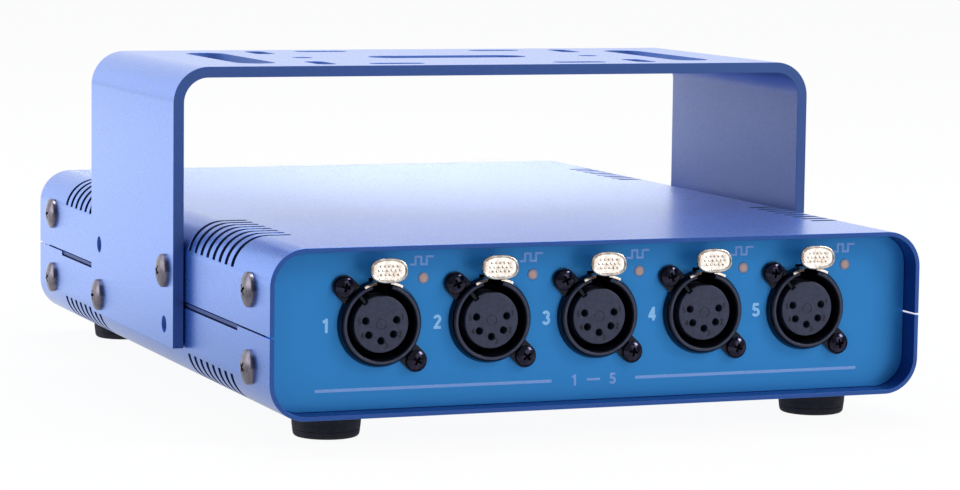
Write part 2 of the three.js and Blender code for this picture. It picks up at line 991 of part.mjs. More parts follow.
// Lamp with two leads bent down to the board; its own frame starts at the panel's face
function lamp() {
  const tip = -lampProud;
  const end = tip + lampLength;
  const bulb = turned(
    [
      [0, tip],
      [lampRadius * Math.SQRT1_2, tip + lampProud / 2],
      [lampRadius, tip + 2 * lampProud],
      [lampRadius, end - lampRimLength],
      [lampRimRadius, end - lampRimLength],
      [lampRimRadius, end],
      [0, end],
    ],
    screwSides,
  );
  const leads = [-1, 1].map((level) => {
    const z = (level * leadPitch) / 2;
    const back = leadSetback + ((level + 1) / 2) * leadStep;
    const half = leadSize / 2;
    const ground = -lampRise - socketDrop;
    const outline = [
      point(end - lampRimLength, z + half),
      point(back + half, z + half),
      point(back + half, ground),
      point(back - half, ground),
      point(back - half, z - half),
      point(end - lampRimLength, z - half),
    ];
    return prismX(outline, -half, half);
  });
  return join([solid(bulb), ...leads]);
}

// Rubber foot, standing on z = 0
function foot() {
  const edge = arc(
    footBottomRadius - footEdgeRadius,
    footEdgeRadius,
    footEdgeRadius,
    -quarterTurn,
    0,
    edgeSteps,
  );
  const profile = [
    [0, footRecessDepth],
    [footRecessRadius, footRecessDepth],
    [footRecessRadius, 0],
    ...edge.map(({ x, y }) => [x, y]),
    [footTopRadius, footHeight],
    [0, footHeight],
  ];
  return turned(profile, footSides).rotateX(Math.PI / 2);
}

// Main board: full width in front, a stem back to the rear sockets
function mainBoard() {
  const stemRight = powerLeft - powerStemGap;
  const frontBack = boardFront + boardFrontDepth;
  const rear = caseDepth - boardFront;
  const outline = [
    point(-boardHalf, boardFront),
    point(boardHalf, boardFront),
    point(boardHalf, frontBack),
    point(stemRight, frontBack),
    point(stemRight, rear),
    point(-boardHalf, rear),
  ];
  const base = boardTop - boardThickness / 2;
  const parts = [prismZ(outline, boardBottom, boardTop)];
  const stand = (x, y, width, depth, height) =>
    parts.push(box(x - width / 2, x + width / 2, y, y + depth, base, boardTop + height));
  for (const { x } of socketPlaces) {
    const chipY = boardFront + partRowStart;
    const converterY = chipY + chipLength + partRowGap;
    const capacitorY = converterY + converterLength + partRowGap + capacitorRadius;
    stand(x, chipY, chipWidth, chipLength, chipHeight);
    stand(x, converterY, converterWidth, converterLength, converterHeight);
    parts.push(
      rodZ(capacitorRadius, base, boardTop + capacitorHeight, x, capacitorY, screwSides),
    );
  }
  const receiverY = rear - partRowStart - chipLength;
  stand(rearSockets.input, receiverY, chipWidth, chipLength, chipHeight);
  stand(rearSockets.link, receiverY, chipWidth, chipLength, chipHeight);
  const headerY = rear - partRowStart - converterLength - partRowStart;
  stand(stemRight - converterLength, headerY, converterLength, converterWidth, converterHeight);
  return join(parts);
}

// Heat sink: a comb of upright fins on a back plate
function heatSink(x, y, z) {
  const outline = [point(x, y), point(x + sinkWidth, y)];
  const pitch = (sinkLength - sinkFinThickness) / (sinkFins - 1);
  for (let i = 0; i < sinkFins; i += 1) {
    const start = y + i * pitch;
    if (i > 0) outline.push(point(x + sinkFinThickness, start), point(x + sinkWidth, start));
    outline.push(point(x + sinkWidth, start + sinkFinThickness));
    if (i < sinkFins - 1) outline.push(point(x + sinkFinThickness, start + sinkFinThickness));
  }
  outline.push(point(x, y + sinkLength));
  return prismZ(outline, z, z + sinkHeight);
}

function powerSupply() {
  const base = powerBoardBottom + boardThickness / 2;
  const top = powerBoardBottom + boardThickness;
  const coreX = (powerLeft + powerRight) / 2;
  const coreY = (powerFront + powerRear) / 2;
  const board = box(powerLeft, powerRight, powerFront, powerRear, powerBoardBottom, top);
  const block = (width, depth, height) =>
    box(coreX - width / 2, coreX + width / 2, coreY - depth / 2, coreY + depth / 2, base, top + height);
  const bulkInset = bulkRadius + standoffInset + standoffRadius;
  const bulk = rodZ(
    bulkRadius,
    base,
    top + bulkHeight,
    coreX,
    powerRear - bulkInset,
    screwSides,
  );
  const sinkX = powerLeft + boardMargin;
  return join([
    board,
    block(coreWidth, coreDepth, coreHeight),
    block(bobbinWidth, bobbinDepth, bobbinHeight),
    bulk,
    heatSink(sinkX, coreY - sinkLength / 2, base),
  ]);
}

// Mains inlet, with its axis at the origin and its flange on the panel's face
function inletCavity() {
  const halfX = inletCavityWidth / 2;
  const halfZ = inletCavityHeight / 2;
  return prismY(
    [
      point(-halfX, -halfZ),
      point(halfX, -halfZ),
      point(halfX, halfZ - inletCavityChamfer),
      point(halfX - inletCavityChamfer, halfZ),
      point(-halfX + inletCavityChamfer, halfZ),
      point(-halfX, halfZ - inletCavityChamfer),
    ],
    -inletFlangeThickness - overrun,
    inletCavityDepth - inletFlangeThickness,
  );
}

function mainsInlet() {
  const corner = inletFlangeHeight / 2;
  const flange = prismY(
    roundedOutline(inletFlangeWidth / 2, corner, corner - inletFlangeThickness, edgeSteps),
    -inletFlangeThickness,
    0,
  );
  const body = box(
    -inletBodyWidth / 2,
    inletBodyWidth / 2,
    -inletFlangeThickness,
    inletBodyLength,
    -inletBodyHeight / 2,
    inletBodyHeight / 2,
  );
  const floor = inletCavityDepth - inletFlangeThickness;
  const bladePlaces = [
    [-bladeSpacing / 2, -bladeRise],
    [0, bladeRise],
    [bladeSpacing / 2, -bladeRise],
  ];
  const blades = bladePlaces.map(([x, z]) =>
    box(
      x - bladeWidth / 2,
      x + bladeWidth / 2,
      floor - bladeLength,
      floor + overrun,
      z - bladeHeight / 2,
      z + bladeHeight / 2,
    ),
  );
  const terminals = bladePlaces.map(([x, z]) =>
    box(
      x - terminalThickness / 2,
      x + terminalThickness / 2,
      inletBodyLength - overrun,
      inletBodyLength + terminalLength,
      z - bladeHeight / 2,
      z + bladeHeight / 2,
    ),
  );
  const screws = [-1, 1].map((side) =>
    solid(
      socketScrew()
        .rotateX(Math.PI)
        .translate((side * inletScrewSpacing) / 2, -inletFlangeThickness + screwHoleGap, 0),
    ),
  );
  return join([
    cut(join([flange, body]), [inletCavity()]),
    ...blades,
    ...terminals,
    ...screws,
  ]);
}

// Assembly
const splitter = new THREE.Group();
splitter.name = "dmx_splitter";
const assembly = new THREE.Group();
assembly.position.set(0, -caseDepth / 2, footHeight + halfHeight);
splitter.add(assembly);

function place(name, geometry, finish, x, y, z) {
  const mesh = new THREE.Mesh(geometry, finish);
  mesh.name = name;
  mesh.position.set(x, y, z);
  assembly.add(mesh);
  return mesh;
}

place("top_cover", geometryOf(topCover()), coverPaint, 0, 0, 0);
place("bottom_cover", geometryOf(bottomCover()), coverPaint, 0, 0, 0);
place("side_rail_left", geometryOf(sideRail(-1)), railPaint, 0, 0, 0);
place("side_rail_right", geometryOf(sideRail(1)), railPaint, 0, 0, 0);
place("front_panel", geometryOf(frontPanel()), panelPaint, 0, panelRecess, 0);
const rear = caseDepth - panelRecess;
place("rear_panel", geometryOf(rearPanel()), panelPaint, 0, rear, 0).rotation.z = Math.PI;
place("yoke_bracket", geometryOf(yokeBracket()), coverPaint, 0, 0, 0);

const shellGeometry = geometryOf(outputShell());
const insertGeometry = geometryOf(outputInsert());
const latchGeometry = geometryOf(outputLatch());
const lampGeometry = geometryOf(lamp());
const socketScrewGeometry = socketScrew().rotateX(Math.PI);
for (const { number, x } of socketPlaces) {
  const output = `output_${number}`;
  place(`${output}_shell`, shellGeometry, socketBlack, x, panelRecess, socketRise);
  place(`${output}_insert`, insertGeometry, insertGrey, x, panelRecess, socketRise);
  place(`${output}_latch`, latchGeometry, latchChrome, x, panelRecess, socketRise);
  for (const [end, level] of [[-1, "upper"], [1, "lower"]]) {
    place(
      `${output}_screw_${level}`,
      socketScrewGeometry,
      blackScrewFinish,
      x + end * earOffset,
      panelRecess - earThickness,
      socketRise - end * earOffset,
    );
  }
  place(`lamp_${number}`, lampGeometry, lampResin, x + lampSide, panelRecess, socketRise + lampRise);
}

const rearPieces = [
  ["input_connector", inputConnector(), socketBlack, rearSockets.input, socketRise],
  ["link_shell", linkShell(), socketBlack, rearSockets.link, socketRise],
  ["link_insert", outputInsert(), insertGrey, rearSockets.link, socketRise],
  ["link_latch", outputLatch(), latchChrome, rearSockets.link, socketRise],
  ["mains_inlet", mainsInlet(), socketBlack, inletSide, 0],
];
for (const [name, body, finish, x, z] of rearPieces) {
  place(name, geometryOf(body), finish, x, rear, z).rotation.z = Math.PI;
}

const caseScrewGeometry = panScrew(
  screwHeadRadius,
  screwHeadHeight,
  screwHeadRim,
  caseScrewRadius,
  caseScrewLength,
  screwHeadSides,
);
for (const { name, side, y, z } of caseScrewPlaces) {
  const screw = caseScrewGeometry.clone().rotateZ((-side * Math.PI) / 2);
  place(name, screw, screwNickel, side * halfWidth, y, z);
}

const yokeScrewGeometry = panScrew(
  screwHeadRadius,
  screwHeadHeight,
  screwHeadRim,
  yokeScrewRadius,
  yokeScrewLength,
  screwHeadSides,
);
for (const { name, side, y, z } of yokeScrewPlaces) {
  const screw = yokeScrewGeometry.clone().rotateZ((-side * Math.PI) / 2);
  place(name, screw, screwNickel, side * (halfWidth + yokeSideGap + yokeThickness), y, z);
}

const footGeometry = foot();
for (const side of [-1, 1]) {
  for (const end of [0, 1]) {
    const name = `foot_${end ? "rear" : "front"}_${side < 0 ? "left" : "right"}`;
    const y = end ? caseDepth - footEndInset : footEndInset;
    place(name, footGeometry, footRubber, side * footSide, y, -halfHeight - footHeight);
  }
}

place("main_board", geometryOf(mainBoard()), boardGreen, 0, 0, 0);
place("power_supply", geometryOf(powerSupply()), supplyGreen, 0, 0, 0);

export default splitter;
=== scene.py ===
"""Looks of the splitter: detailed pieces, paints, light and camera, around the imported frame."""
import random
from math import asin, atan, copysign, cos, degrees, hypot, pi, radians, sin, sqrt

import bmesh
import bpy
from mathutils import Matrix, Vector


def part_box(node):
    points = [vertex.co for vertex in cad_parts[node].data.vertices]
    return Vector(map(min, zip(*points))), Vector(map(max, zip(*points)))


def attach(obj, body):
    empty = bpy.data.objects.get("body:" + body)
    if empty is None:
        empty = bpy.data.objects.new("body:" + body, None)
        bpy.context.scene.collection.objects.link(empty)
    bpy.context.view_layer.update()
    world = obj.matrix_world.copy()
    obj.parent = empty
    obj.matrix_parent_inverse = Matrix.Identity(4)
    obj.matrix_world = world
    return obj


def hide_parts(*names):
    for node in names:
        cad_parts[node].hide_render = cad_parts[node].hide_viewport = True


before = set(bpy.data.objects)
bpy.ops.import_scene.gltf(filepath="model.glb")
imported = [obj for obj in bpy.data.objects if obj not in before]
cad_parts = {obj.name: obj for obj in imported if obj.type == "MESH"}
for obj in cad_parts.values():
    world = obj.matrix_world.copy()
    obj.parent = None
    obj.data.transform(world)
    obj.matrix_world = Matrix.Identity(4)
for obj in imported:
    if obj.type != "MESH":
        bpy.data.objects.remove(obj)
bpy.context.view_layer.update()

MM = 0.001

# Lengths are in millimetres. Case frame: y counts from the front rim, z from the case's mid-height
CASE_W, CASE_D, CASE_H = 186.0, 242.0, 44.5
HALF_W, HALF_H = CASE_W / 2, CASE_H / 2
FOOT_H = 7.2
WALL = 1.2
CORNER_R = 9.8
SHIFT = Vector((0, -CASE_D / 2, FOOT_H + HALF_H))
SIDES = ((-1, "left"), (1, "right"))
ENDS = ((0, "front"), (1, "rear"))
LEVELS = ((-1, "lower"), (1, "upper"))

# Joint line: the top cover ends at SEAM_TOP, the bottom one at SEAM_LOW near the ends and at
# SEAM_DEEP between them
SEAM_TOP, SEAM_LOW, SEAM_DEEP = -0.3, -0.75, -2.0
END_ZONE = 28.0
BEND_STEPS = 14

# Vents: they run round the corner from VENT_Z on the side to VENT_X on the top
VENTS, VENT_PITCH, VENT_W, VENT_FROM = 8, 5.65, 2.4, 33.5
VENT_Z, VENT_X = 14.2, 76.7

# Panels, with a folded flange at each side
PANEL_Y, PANEL_T = 6.5, 1.5
PANEL_X, PANEL_Z, PANEL_R = 91.68, 20.93, 8.48
FLANGE_L, FLANGE_Z = 18.0, 12.3

# Screws: radius and height of the head, radius and length of the shank, reach of the cross
CASE_SCREW = (4.65, 2.2, 1.4, 6, 2.2)
SOCKET_SCREW = (2.8, 1.5, 1.25, 6, 1.95)
FOOT_SCREW = (3.1, 1.6, 1.4, 6, 1.5)
HEAD_DOME = [
    (1.0, 0.3), (0.993, 0.37), (0.975, 0.44), (0.945, 0.5), (0.9, 0.56), (0.82, 0.64), (0.7, 0.74),
    (0.56, 0.84), (0.4, 0.92), (0.24, 0.97), (0.1, 0.99),
]
CASE_SCREW_Y, CASE_SCREW_Z = 16.9, 10.1
YOKE_SCREW_Y, YOKE_SCREW_Z, YOKE_HOLE_R = 35.0, 7.5, 2.4

# Yoke: a bar bent with the outer radius YOKE_R, and its cut-outs as (length, width)
YOKE_IN, YOKE_T, YOKE_W = 93.35, 3.0, 88.0
YOKE_OUT = YOKE_IN + YOKE_T
YOKE_TOP, YOKE_LOW, YOKE_R = 64.3, -13.2, 10.0
CENTRE_SLOT, CLAMP_SLOT, BOLT_SLOT = (49, 13), (60, 11.5), (16.5, 6)
CLAMP_X, LONG_BOLT, CROSS_BOLT = 67, (28, 34), (49, 28.5)
BOLT_HOLE_X, BOLT_HOLE_R = 45, 3

# Sockets, with depths from the panel's face, the front being negative
PITCH, SOCKET_Z = CASE_W * 0.1648, 1.45
SOCKETS = [(number, (number - 3) * PITCH) for number in range(1, 6)]
INPUT_X, LINK_X = -2 * PITCH, -PITCH
BORE_R, RING_R, BASE_R, RING_Y = 9.4, 11.1, 11.55, -2.6
BARREL_R, BORE_END, BARREL_END = RING_R - 0.5, 9.6, 12
EAR_AT, EAR_R, EAR_T = 9.9, 3.1, 1.0
NOTCH_HALF = 3.0
INSERT_R, INSERT_Y = 7.5, -1.7
CONTACT_R, CONTACT_AT = 0.97, 4.35
CONTACTS = {1: 13, 2: -39, 3: -90, 4: -141, 5: 167}
KEY_ANGLE = 127
LAMP_X, LAMP_Z, LAMP_R, LAMP_PROUD = PITCH * 0.394, 11.5, 1.5, 0.25

# Latch: pivot and size of the arm, pin, and the tab with its lean (depth over height)
PIVOT_Y, PIVOT_Z, ARM_HALF_T, ARM_HALF_W = 2.8, BORE_R + 0.55, 0.45, 2.7
ARM_FRONT, ARM_RISE = RING_Y - 5.2, 2.3
PIN_R, PIN_HALF = 0.55, 3.33
TAB_Y, TAB_Z = -7.37, 14.55
TAB_W, TAB_H, TAB_LEAN = 5.1, 3.25, 0.2126
TAB_SIDES, TAB_POWER = 56, 0.8

# Feet and mains inlet
FOOT_X, FOOT_Y, FOOT_SEAT = 71.0, 20.0, 3.6
INLET_X, INLET_SCREW_X, INLET_T = 52.0, 20, 3
BLADES = ((-7, -2), (0, 2), (7, -2))

# Print on the front panel
LINE_Z, LINE_W = -15.6, 0.8
LINES = ((-78.7, -12.8), (11.4, 77.4))
NUMBER_X, NUMBER_Z, NUMBER_H, NUMBER_W = -14.6, -0.1, 3.7, 0.74
PULSE_X, PULSE_Z, PULSE_W = 11.6, 16.1, 0.55

rng = random.Random(7)


# ---- materials
def put(tree, socket, value):
    """Links an output to the socket, or sets the socket to a plain value."""
    if isinstance(value, bpy.types.NodeSocket):
        tree.links.new(value, socket)
    else:
        socket.default_value = value


def new_node(tree, kind, sockets, **settings):
    """A node with its settings, and its sockets set or linked by name or number."""
    node = tree.nodes.new(kind)
    for key, value in settings.items():
        setattr(node, key, value)
    for key, value in sockets.items():
        put(tree, node.inputs[key], value)
    return node


def map_range(tree, value, start, end, low, high, kind="LINEAR"):
    """Takes start to end onto low to high."""
    sockets = {"Value": value, "From Min": start, "From Max": end, "To Min": low, "To Max": high}
    return new_node(tree, "ShaderNodeMapRange", sockets, interpolation_type=kind).outputs["Result"]


class Nodes:
    """A material whose nodes are built by short calls around its Principled shader."""

    def __init__(self, name):
        self.material = bpy.data.materials.new(name)
        self.material.use_nodes = True
        self.tree = self.material.node_tree
        self.shader = self.tree.nodes["Principled BSDF"]
        self.place = self.add("ShaderNodeTexCoord", {}).outputs["Object"]

    def add(self, kind, sockets, **settings):
        return new_node(self.tree, kind, sockets, **settings)

    def set(self, **values):
        """Sets or links the shader's sockets."""
        for key, value in values.items():
            put(self.tree, self.shader.inputs[key.replace("_", " ")], value)

    def noise(self, scale, detail=2.0, rough=0.5):
        sockets = {"Vector": self.place, "Scale": scale, "Detail": detail, "Roughness": rough}
        return self.add("ShaderNodeTexNoise", sockets).outputs["Fac"]

    def ramp(self, value, *stops):
        """Runs between two (position, colour) stops."""
        node = self.add("ShaderNodeValToRGB", {"Fac": value})
        for element, (at, color) in zip(node.color_ramp.elements, stops):
            element.position = at
            element.color = color
        return node.outputs["Color"]

    def spread(self, value, low, high, start=0.3, end=0.7):
        return map_range(self.tree, value, start, end, low, high)

    def blend(self, share, first, second):
        sockets = {0: share, 6: first, 7: second}
        return self.add("ShaderNodeMix", sockets, data_type="RGBA").outputs[2]

    def bump(self, height, strength, depth):
        """Bumps the shader's normal, by a depth in millimetres."""
        sockets = {"Height": height, "Strength": strength, "Distance": depth * MM}
        self.set(Normal=self.add("ShaderNodeBump", sockets).outputs["Normal"])


def rgb(red, green, blue):
    """An sRGB colour, 0 to 255, as linear RGBA."""
    def linear(value):
        value /= 255
        return value / 12.92 if value <= 0.04045 else ((value + 0.055) / 1.055) ** 2.4
    return (linear(red), linear(green), linear(blue), 1.0)


def shade(color, factor):
    return tuple(min(1.0, c * factor) for c in color[:3]) + (1.0,)


def metallic_paint(name, base, rough, metal, flake=0.14, coat=0.0, skin=0.1):
    """Satin paint with fine flakes, soft clouding and a pebbled skin."""
    n = Nodes(name)
    dark, light = shade(base, 1 - flake), shade(base, 1 + flake)
    tint = n.ramp(n.noise(2300, 2.0, 0.7), (0.3, dark), (0.7, light))
    clouds = n.spread(n.noise(45, 3.0, 0.55), 0.0, 0.3)
    n.set(
        Base_Color=n.blend(clouds, tint, shade(base, 1.06)), Metallic=metal,
        Roughness=n.spread(n.noise(1100), rough - 0.04, rough + 0.05),
        Coat_Weight=coat, Coat_Roughness=0.3,
    )
    n.bump(n.noise(1900, 2.0, 0.6), skin, 0.02)
    return n.material


def plastic(name, base, light, rough, scale=700, bump=0.12, tint=(1.0, 1.0, 1.0, 1.0)):
    """Moulded plastic with a faint grain; tint colours its sheen."""
    n = Nodes(name)
    n.set(
        Base_Color=n.ramp(n.noise(scale, 3.0, 0.6), (0.35, base), (0.7, light)),
        Roughness=n.spread(n.noise(scale * 0.4, 3.0), rough - 0.05, rough + 0.08),
        Specular_Tint=tint,
    )
    n.bump(n.noise(scale * 2), bump, 0.05)
    return n.material


def plated(name, base, wear_and_reflection, rough):
    """Plated metal with light handling marks; on some finishes the mottling is a painted reflection
    of the room.
    """
    n = Nodes(name)
    grain = n.noise(1600, 3.0, 0.6)
    n.set(
        Base_Color=n.ramp(n.noise(420, 4.0, 0.65), (0.3, wear_and_reflection), (0.62, base)), Metallic=1.0,
        Roughness=n.spread(grain, rough - 0.06, rough + 0.1),
    )
    n.bump(grain, 0.15, 0.03)
    return n.material


def lens(name, middle, edge, radius):
    """A clouded lens; the panel's colour painted towards its edge stands in for the panel's light
    seen through the resin.
    """
    n = Nodes(name)
    across = n.add("ShaderNodeMapping", {"Vector": n.place, "Scale": (1, 0, 1)}).outputs["Vector"]
    length = n.add("ShaderNodeVectorMath", {0: across}, operation="LENGTH").outputs["Value"]
    share = n.spread(length, 0.0, 1.0, 0.35 * radius * MM, radius * MM)
    cloud = n.ramp(n.noise(1500), (0.3, middle), (0.7, shade(middle, 0.85)))
    n.set(Base_Color=n.blend(share, cloud, edge), Roughness=n.spread(n.noise(700), 0.35, 0.5))
    n.bump(n.noise(1400), 0.05, 0.05)
    return n.material


def printed_board(name, mask, copper):
    """Printed board: solder mask with traces under it."""
    n = Nodes(name)
    traces = n.add("ShaderNodeTexBrick", {
        "Vector": n.place, "Scale": 160, "Mortar Size": 0.03, "Color1": mask, "Color2": mask,
        "Mortar": copper,
    })
    n.set(
        Base_Color=n.blend(n.spread(n.noise(300), 0.1, 0.5), traces.outputs["Color"], mask),
        Roughness=n.spread(n.noise(500), 0.35, 0.6),
    )
    n.bump(traces.outputs["Fac"], 0.3, 0.05)
    return n.material


COVER = metallic_paint("cover_paint", rgb(62, 138, 250), 0.3, 0.9, flake=0.1, coat=1.0, skin=0.035)
# Painted shade: a darker, greyer copy of the bar's paint on the bar's outer edges
EDGE_SHADE = metallic_paint("yoke_edge_painted_shade", rgb(76, 106, 168), 0.45, 0.7, flake=0.06, skin=0.05)
# Painted shade: a dark copy of the cover paint on the covers' inner skin, their vent walls and the
# panels' flanges, where the inside of the case lies in shade
INSIDE_SHADE = metallic_paint("cover_inside_painted_shade", rgb(12, 30, 84), 0.6, 0.0)
# Painted shade: a darker copy of the cover paint on the inner faces of the lips, shaded by the
# recess before the panels
LIP_SHADE = metallic_paint("cover_lip_painted_shade", rgb(6, 56, 138), 0.42, 0.5, flake=0.06, skin=0.05)
# Painted shade: a darker, duller copy of the cover paint on the sheets' front and rear rims
RIM_SHADE = metallic_paint("cover_rim_painted_shade", rgb(50, 94, 172), 0.42, 0.5, flake=0.06, skin=0.05)
PANEL = metallic_paint("panel_paint", rgb(50, 146, 222), 0.32, 0.5, flake=0.03, skin=0.02)
# Painted shade: a duller copy of the bar's paint on the walls of its holes and slots
CUT_SHADE = metallic_paint("cut_edge_painted_shade", rgb(96, 134, 206), 0.5, 0.2)
# Painted reflection: a greyer, paler copy of the bar's paint on its inner faces stands in for the
# room they mirror
INNER_REFLECTION = metallic_paint("yoke_inside_painted_reflection", rgb(124, 138, 180), 0.42, 0.5)
RAIL = metallic_paint("rail_paint", rgb(54, 84, 152), 0.45, 0.6)
NICKEL = plated("nickel", rgb(136, 130, 142), rgb(100, 95, 106), 0.24)
# Painted reflection: the brown mottling of the latch chrome stands in for a warm room mirrored in
# it
CHROME = plated("latch_chrome", rgb(250, 246, 238), rgb(170, 142, 122), 0.12)
BLACK = plastic(
    "black_plastic", rgb(3, 5, 13), rgb(7, 10, 20), 0.12, bump=0.03, tint=(0.7, 0.8, 1.0, 1.0),
)
INSERT = plastic("insert_plastic", rgb(42, 48, 72), rgb(54, 60, 86), 0.5, bump=0.2)
# Painted shade: black for the bore's inner faces and for plugs set deep in the contact holes
PIT_SHADE = plastic("painted_pit_shade", rgb(2, 3, 9), rgb(5, 6, 14), 0.6, tint=(0.3, 0.4, 0.6, 1.0))
# Painted reflection: the dark patches on the black screws' heads stand in for the room mirrored in
# them
BLACK_SCREW = plated("black_screw", rgb(64, 62, 80), rgb(24, 25, 38), 0.12)
# Painted shade: near-black for the inside of the cross recesses
RECESS_SHADE = plated("recess", rgb(22, 24, 36), rgb(10, 11, 18), 0.4)
# Painted light: the lens's edge takes the panel's blue
LAMP = lens("lamp_resin", rgb(200, 164, 150), rgb(96, 128, 172), 1.55)
RUBBER = plastic("rubber", rgb(8, 12, 26), rgb(18, 22, 40), 0.7, scale=1200, bump=0.3)
BOARD = printed_board("board", rgb(20, 84, 48), rgb(96, 150, 84))
SUPPLY = printed_board("supply_board", rgb(34, 74, 48), rgb(120, 130, 70))
PRINT = plastic("print", rgb(140, 202, 252), rgb(156, 214, 255), 0.5, scale=1400, bump=0.05)
FINE_PRINT = plastic(
    "fine_print", rgb(124, 168, 236), rgb(140, 182, 242), 0.5, scale=1400, bump=0.05,
)
# Painted shade: near-black on the insert's raised contact numbers, standing in for the shade of
# their relief
NUMBER_SHADE = plastic("relief_painted_shade", rgb(10, 11, 20), rgb(18, 19, 30), 0.5, bump=0.05)
BLADE = plated("blade", rgb(214, 206, 190), rgb(176, 164, 140), 0.28)


# ---- mesh helpers
def case(x, y, z):
    """A point of the case frame, in metres of the row frame."""
    return (Vector((x, y, z)) + SHIFT) * MM


def front(x, depth, z):
    """A place on the front panel: depth grows inward."""
    return case(x, PANEL_Y + depth, z)


def rear(x, z, proud=0):
    """A place on the rear panel."""
    return case(x, CASE_D - PANEL_Y + proud, z)


def turn_about(axis, angle):
    return Matrix.Rotation(radians(angle), 4, axis)


STILL, TO_REAR = Matrix(), turn_about("Z", 180)


def new_object(name, data):
    obj = bpy.data.objects.new(name, data)
    bpy.context.scene.collection.objects.link(obj)
    return obj


def joined(parts):
    """One part made of (points, faces) parts."""
    points, faces = [], []
    for part_points, part_faces in parts:
        start = len(points)
        points += part_points
        faces += [tuple(i + start for i in face) for face in part_faces]
    return points, faces


def write_back(shape, mesh):
    """Ends the work on a mesh and turns its faces outward."""
    bmesh.ops.recalc_face_normals(shape, faces=shape.faces)
    shape.to_mesh(mesh)
    shape.free()


def mesh_of(name, parts, materials=(), kinds=None):
    """A mesh of (points, faces) parts, faces outward; kinds gives each face's material number."""
    points, faces = joined(parts)
    mesh = bpy.data.meshes.new(name)
    mesh.from_pydata([Vector(p) * MM for p in points], [], faces)
    if kinds:
        mesh.polygons.foreach_set("material_index", kinds)
    shape = bmesh.new()
    shape.from_mesh(mesh)
    bmesh.ops.delete(shape, geom=[v for v in shape.verts if not v.link_faces], context="VERTS")
    bmesh.ops.remove_doubles(shape, verts=shape.verts, dist=1e-7)
    write_back(shape, mesh)
    for material in materials:
        mesh.materials.append(material)
    return mesh


def soften(obj, width, segments):
    """Rounds the sharp edges of a piece and smooths its shading."""
    angle = radians(35)
    if width:
        bevel = obj.modifiers.new("bevel", "BEVEL")
        bevel.width = width * MM
        bevel.segments = segments
        bevel.limit_method = "ANGLE"
        bevel.angle_limit = angle
    weighted = obj.modifiers.new("normals", "WEIGHTED_NORMAL")
    weighted.keep_sharp = True
    weighted.weight = 90
    for face in obj.data.polygons:
        face.use_smooth = True
    obj.data.set_sharp_from_angle(angle=angle)


def piece(name, mesh, material, where, turn=STILL, body="case", replaces=(), bevel=0.0, segments=2):
    """A finished piece: placed, painted, riding on its body."""
    obj = new_object(name, mesh)
    if not mesh.materials:
        mesh.materials.append(material)
    obj.matrix_world = Matrix.Translation(where) @ turn
    soften(obj, bevel, segments)
    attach(obj, body)
    if replaces:
        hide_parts(*replaces)


def polar(radius, angle):
    return radius * cos(radians(angle)), radius * sin(radians(angle))


def arc(cx, cy, radius, start, end, steps):
    points = [polar(radius, start + (end - start) * i / steps) for i in range(steps + 1)]
    return [(cx + x, cy + y) for x, y in points]


def circle(cx, cy, radius, sides):
    return arc(cx, cy, radius, 0, 360, sides)[:-1]


def rectangle(left, right, low, high):
    return [(left, low), (right, low), (right, high), (left, high)]


def turned(outline, angle):
    """The outline turned about its origin."""
    c, s = polar(1, angle)
    return [(c * a - s * b, s * a + c * b) for a, b in outline]


def round_profile(profile, radius, steps=4):
    """Rounds the inner corners of an open profile of (r, y)."""
    result = [profile[0]]
    for before, here, after in zip(profile, profile[1:], profile[2:]):
        b = Vector(here)
        to_a, to_c = Vector(before) - b, Vector(after) - b
        a, c = to_a.normalized(), to_c.normalized()
        if abs(a.cross(c)) < 0.1:
            result.append(here)
            continue
        reach = min(radius, to_a.length * 0.45, to_c.length * 0.45)
        start, end = b + a * reach, b + c * reach
        for i in range(steps + 1):
            t = i / steps
            result.append(tuple(start * (1 - t) ** 2 + b * (2 * t * (1 - t)) + end * t ** 2))
    result.append(profile[-1])
    return result


def lathe(profile, sides=48, start=0.0, sweep=360.0):
    """Turns a profile of (radius, y) about the Y axis; a part turn gets end caps."""
    whole = sweep >= 360
    count = sides if whole else sides + 1
    points, faces, rows = [], [], []
    for radius, y in profile:
        if radius < 1e-6:
            rows.append([len(points)] * count)
            points.append((0, y, 0))
            continue
        rows.append(range(len(points), len(points) + count))
        for k in range(count):
            x, z = polar(radius, start + sweep * k / sides)
            points.append((x, y, z))
    for low, high in zip(rows, rows[1:]):
        for k in range(sides):
            n = (k + 1) % count
            corners = tuple(dict.fromkeys((low[k], low[n], high[n], high[k])))
            if len(corners) > 2:
                faces.append(corners)
    if not whole:
        faces += [tuple(row[0] for row in rows), tuple(row[-1] for row in reversed(rows))]
    return points, faces


def prism(outline, low, high, axis="y"):
    """A straight body over an outline: of x and z along y, x and y along z, y and z along x."""
    count = len(outline)
    points = [
        {"y": (a, level, b), "z": (a, b, level), "x": (level, a, b)}[axis]
        for level in (low, high) for a, b in outline
    ]
    faces = [tuple(range(count)), tuple(range(2 * count - 1, count - 1, -1))]
    faces += [(i, (i + 1) % count, count + (i + 1) % count, count + i) for i in range(count)]
    return points, faces


def shifted(part, x, y, z):
    points, faces = part
    return [(a + x, b + y, c + z) for a, b, c in points], faces


def slot_outline(cx, cy, size, upright=False, steps=10):
    """A slot of (length, width) with round ends, along the second axis where upright."""
    length, width = size
    r, side = width / 2, (length - width) / 2
    outline = arc(side, 0, r, -90, 90, steps) + arc(-side, 0, r, 90, 270, steps)
    if upright:
        return [(cx - b, cy + a) for a, b in outline]
    return [(cx + a, cy + b) for a, b in outline]


def round_outline(half_x, half_y, radius, steps=8):
    """A rectangle with round corners."""
    cx, cy = half_x - radius, half_y - radius
    corners = ((cx, cy), (-cx, cy), (-cx, -cy), (cx, -cy))
    return [
        point for quarter, (x, y) in enumerate(corners)
        for point in arc(x, y, radius, 90 * quarter, 90 * quarter + 90, steps)
    ]


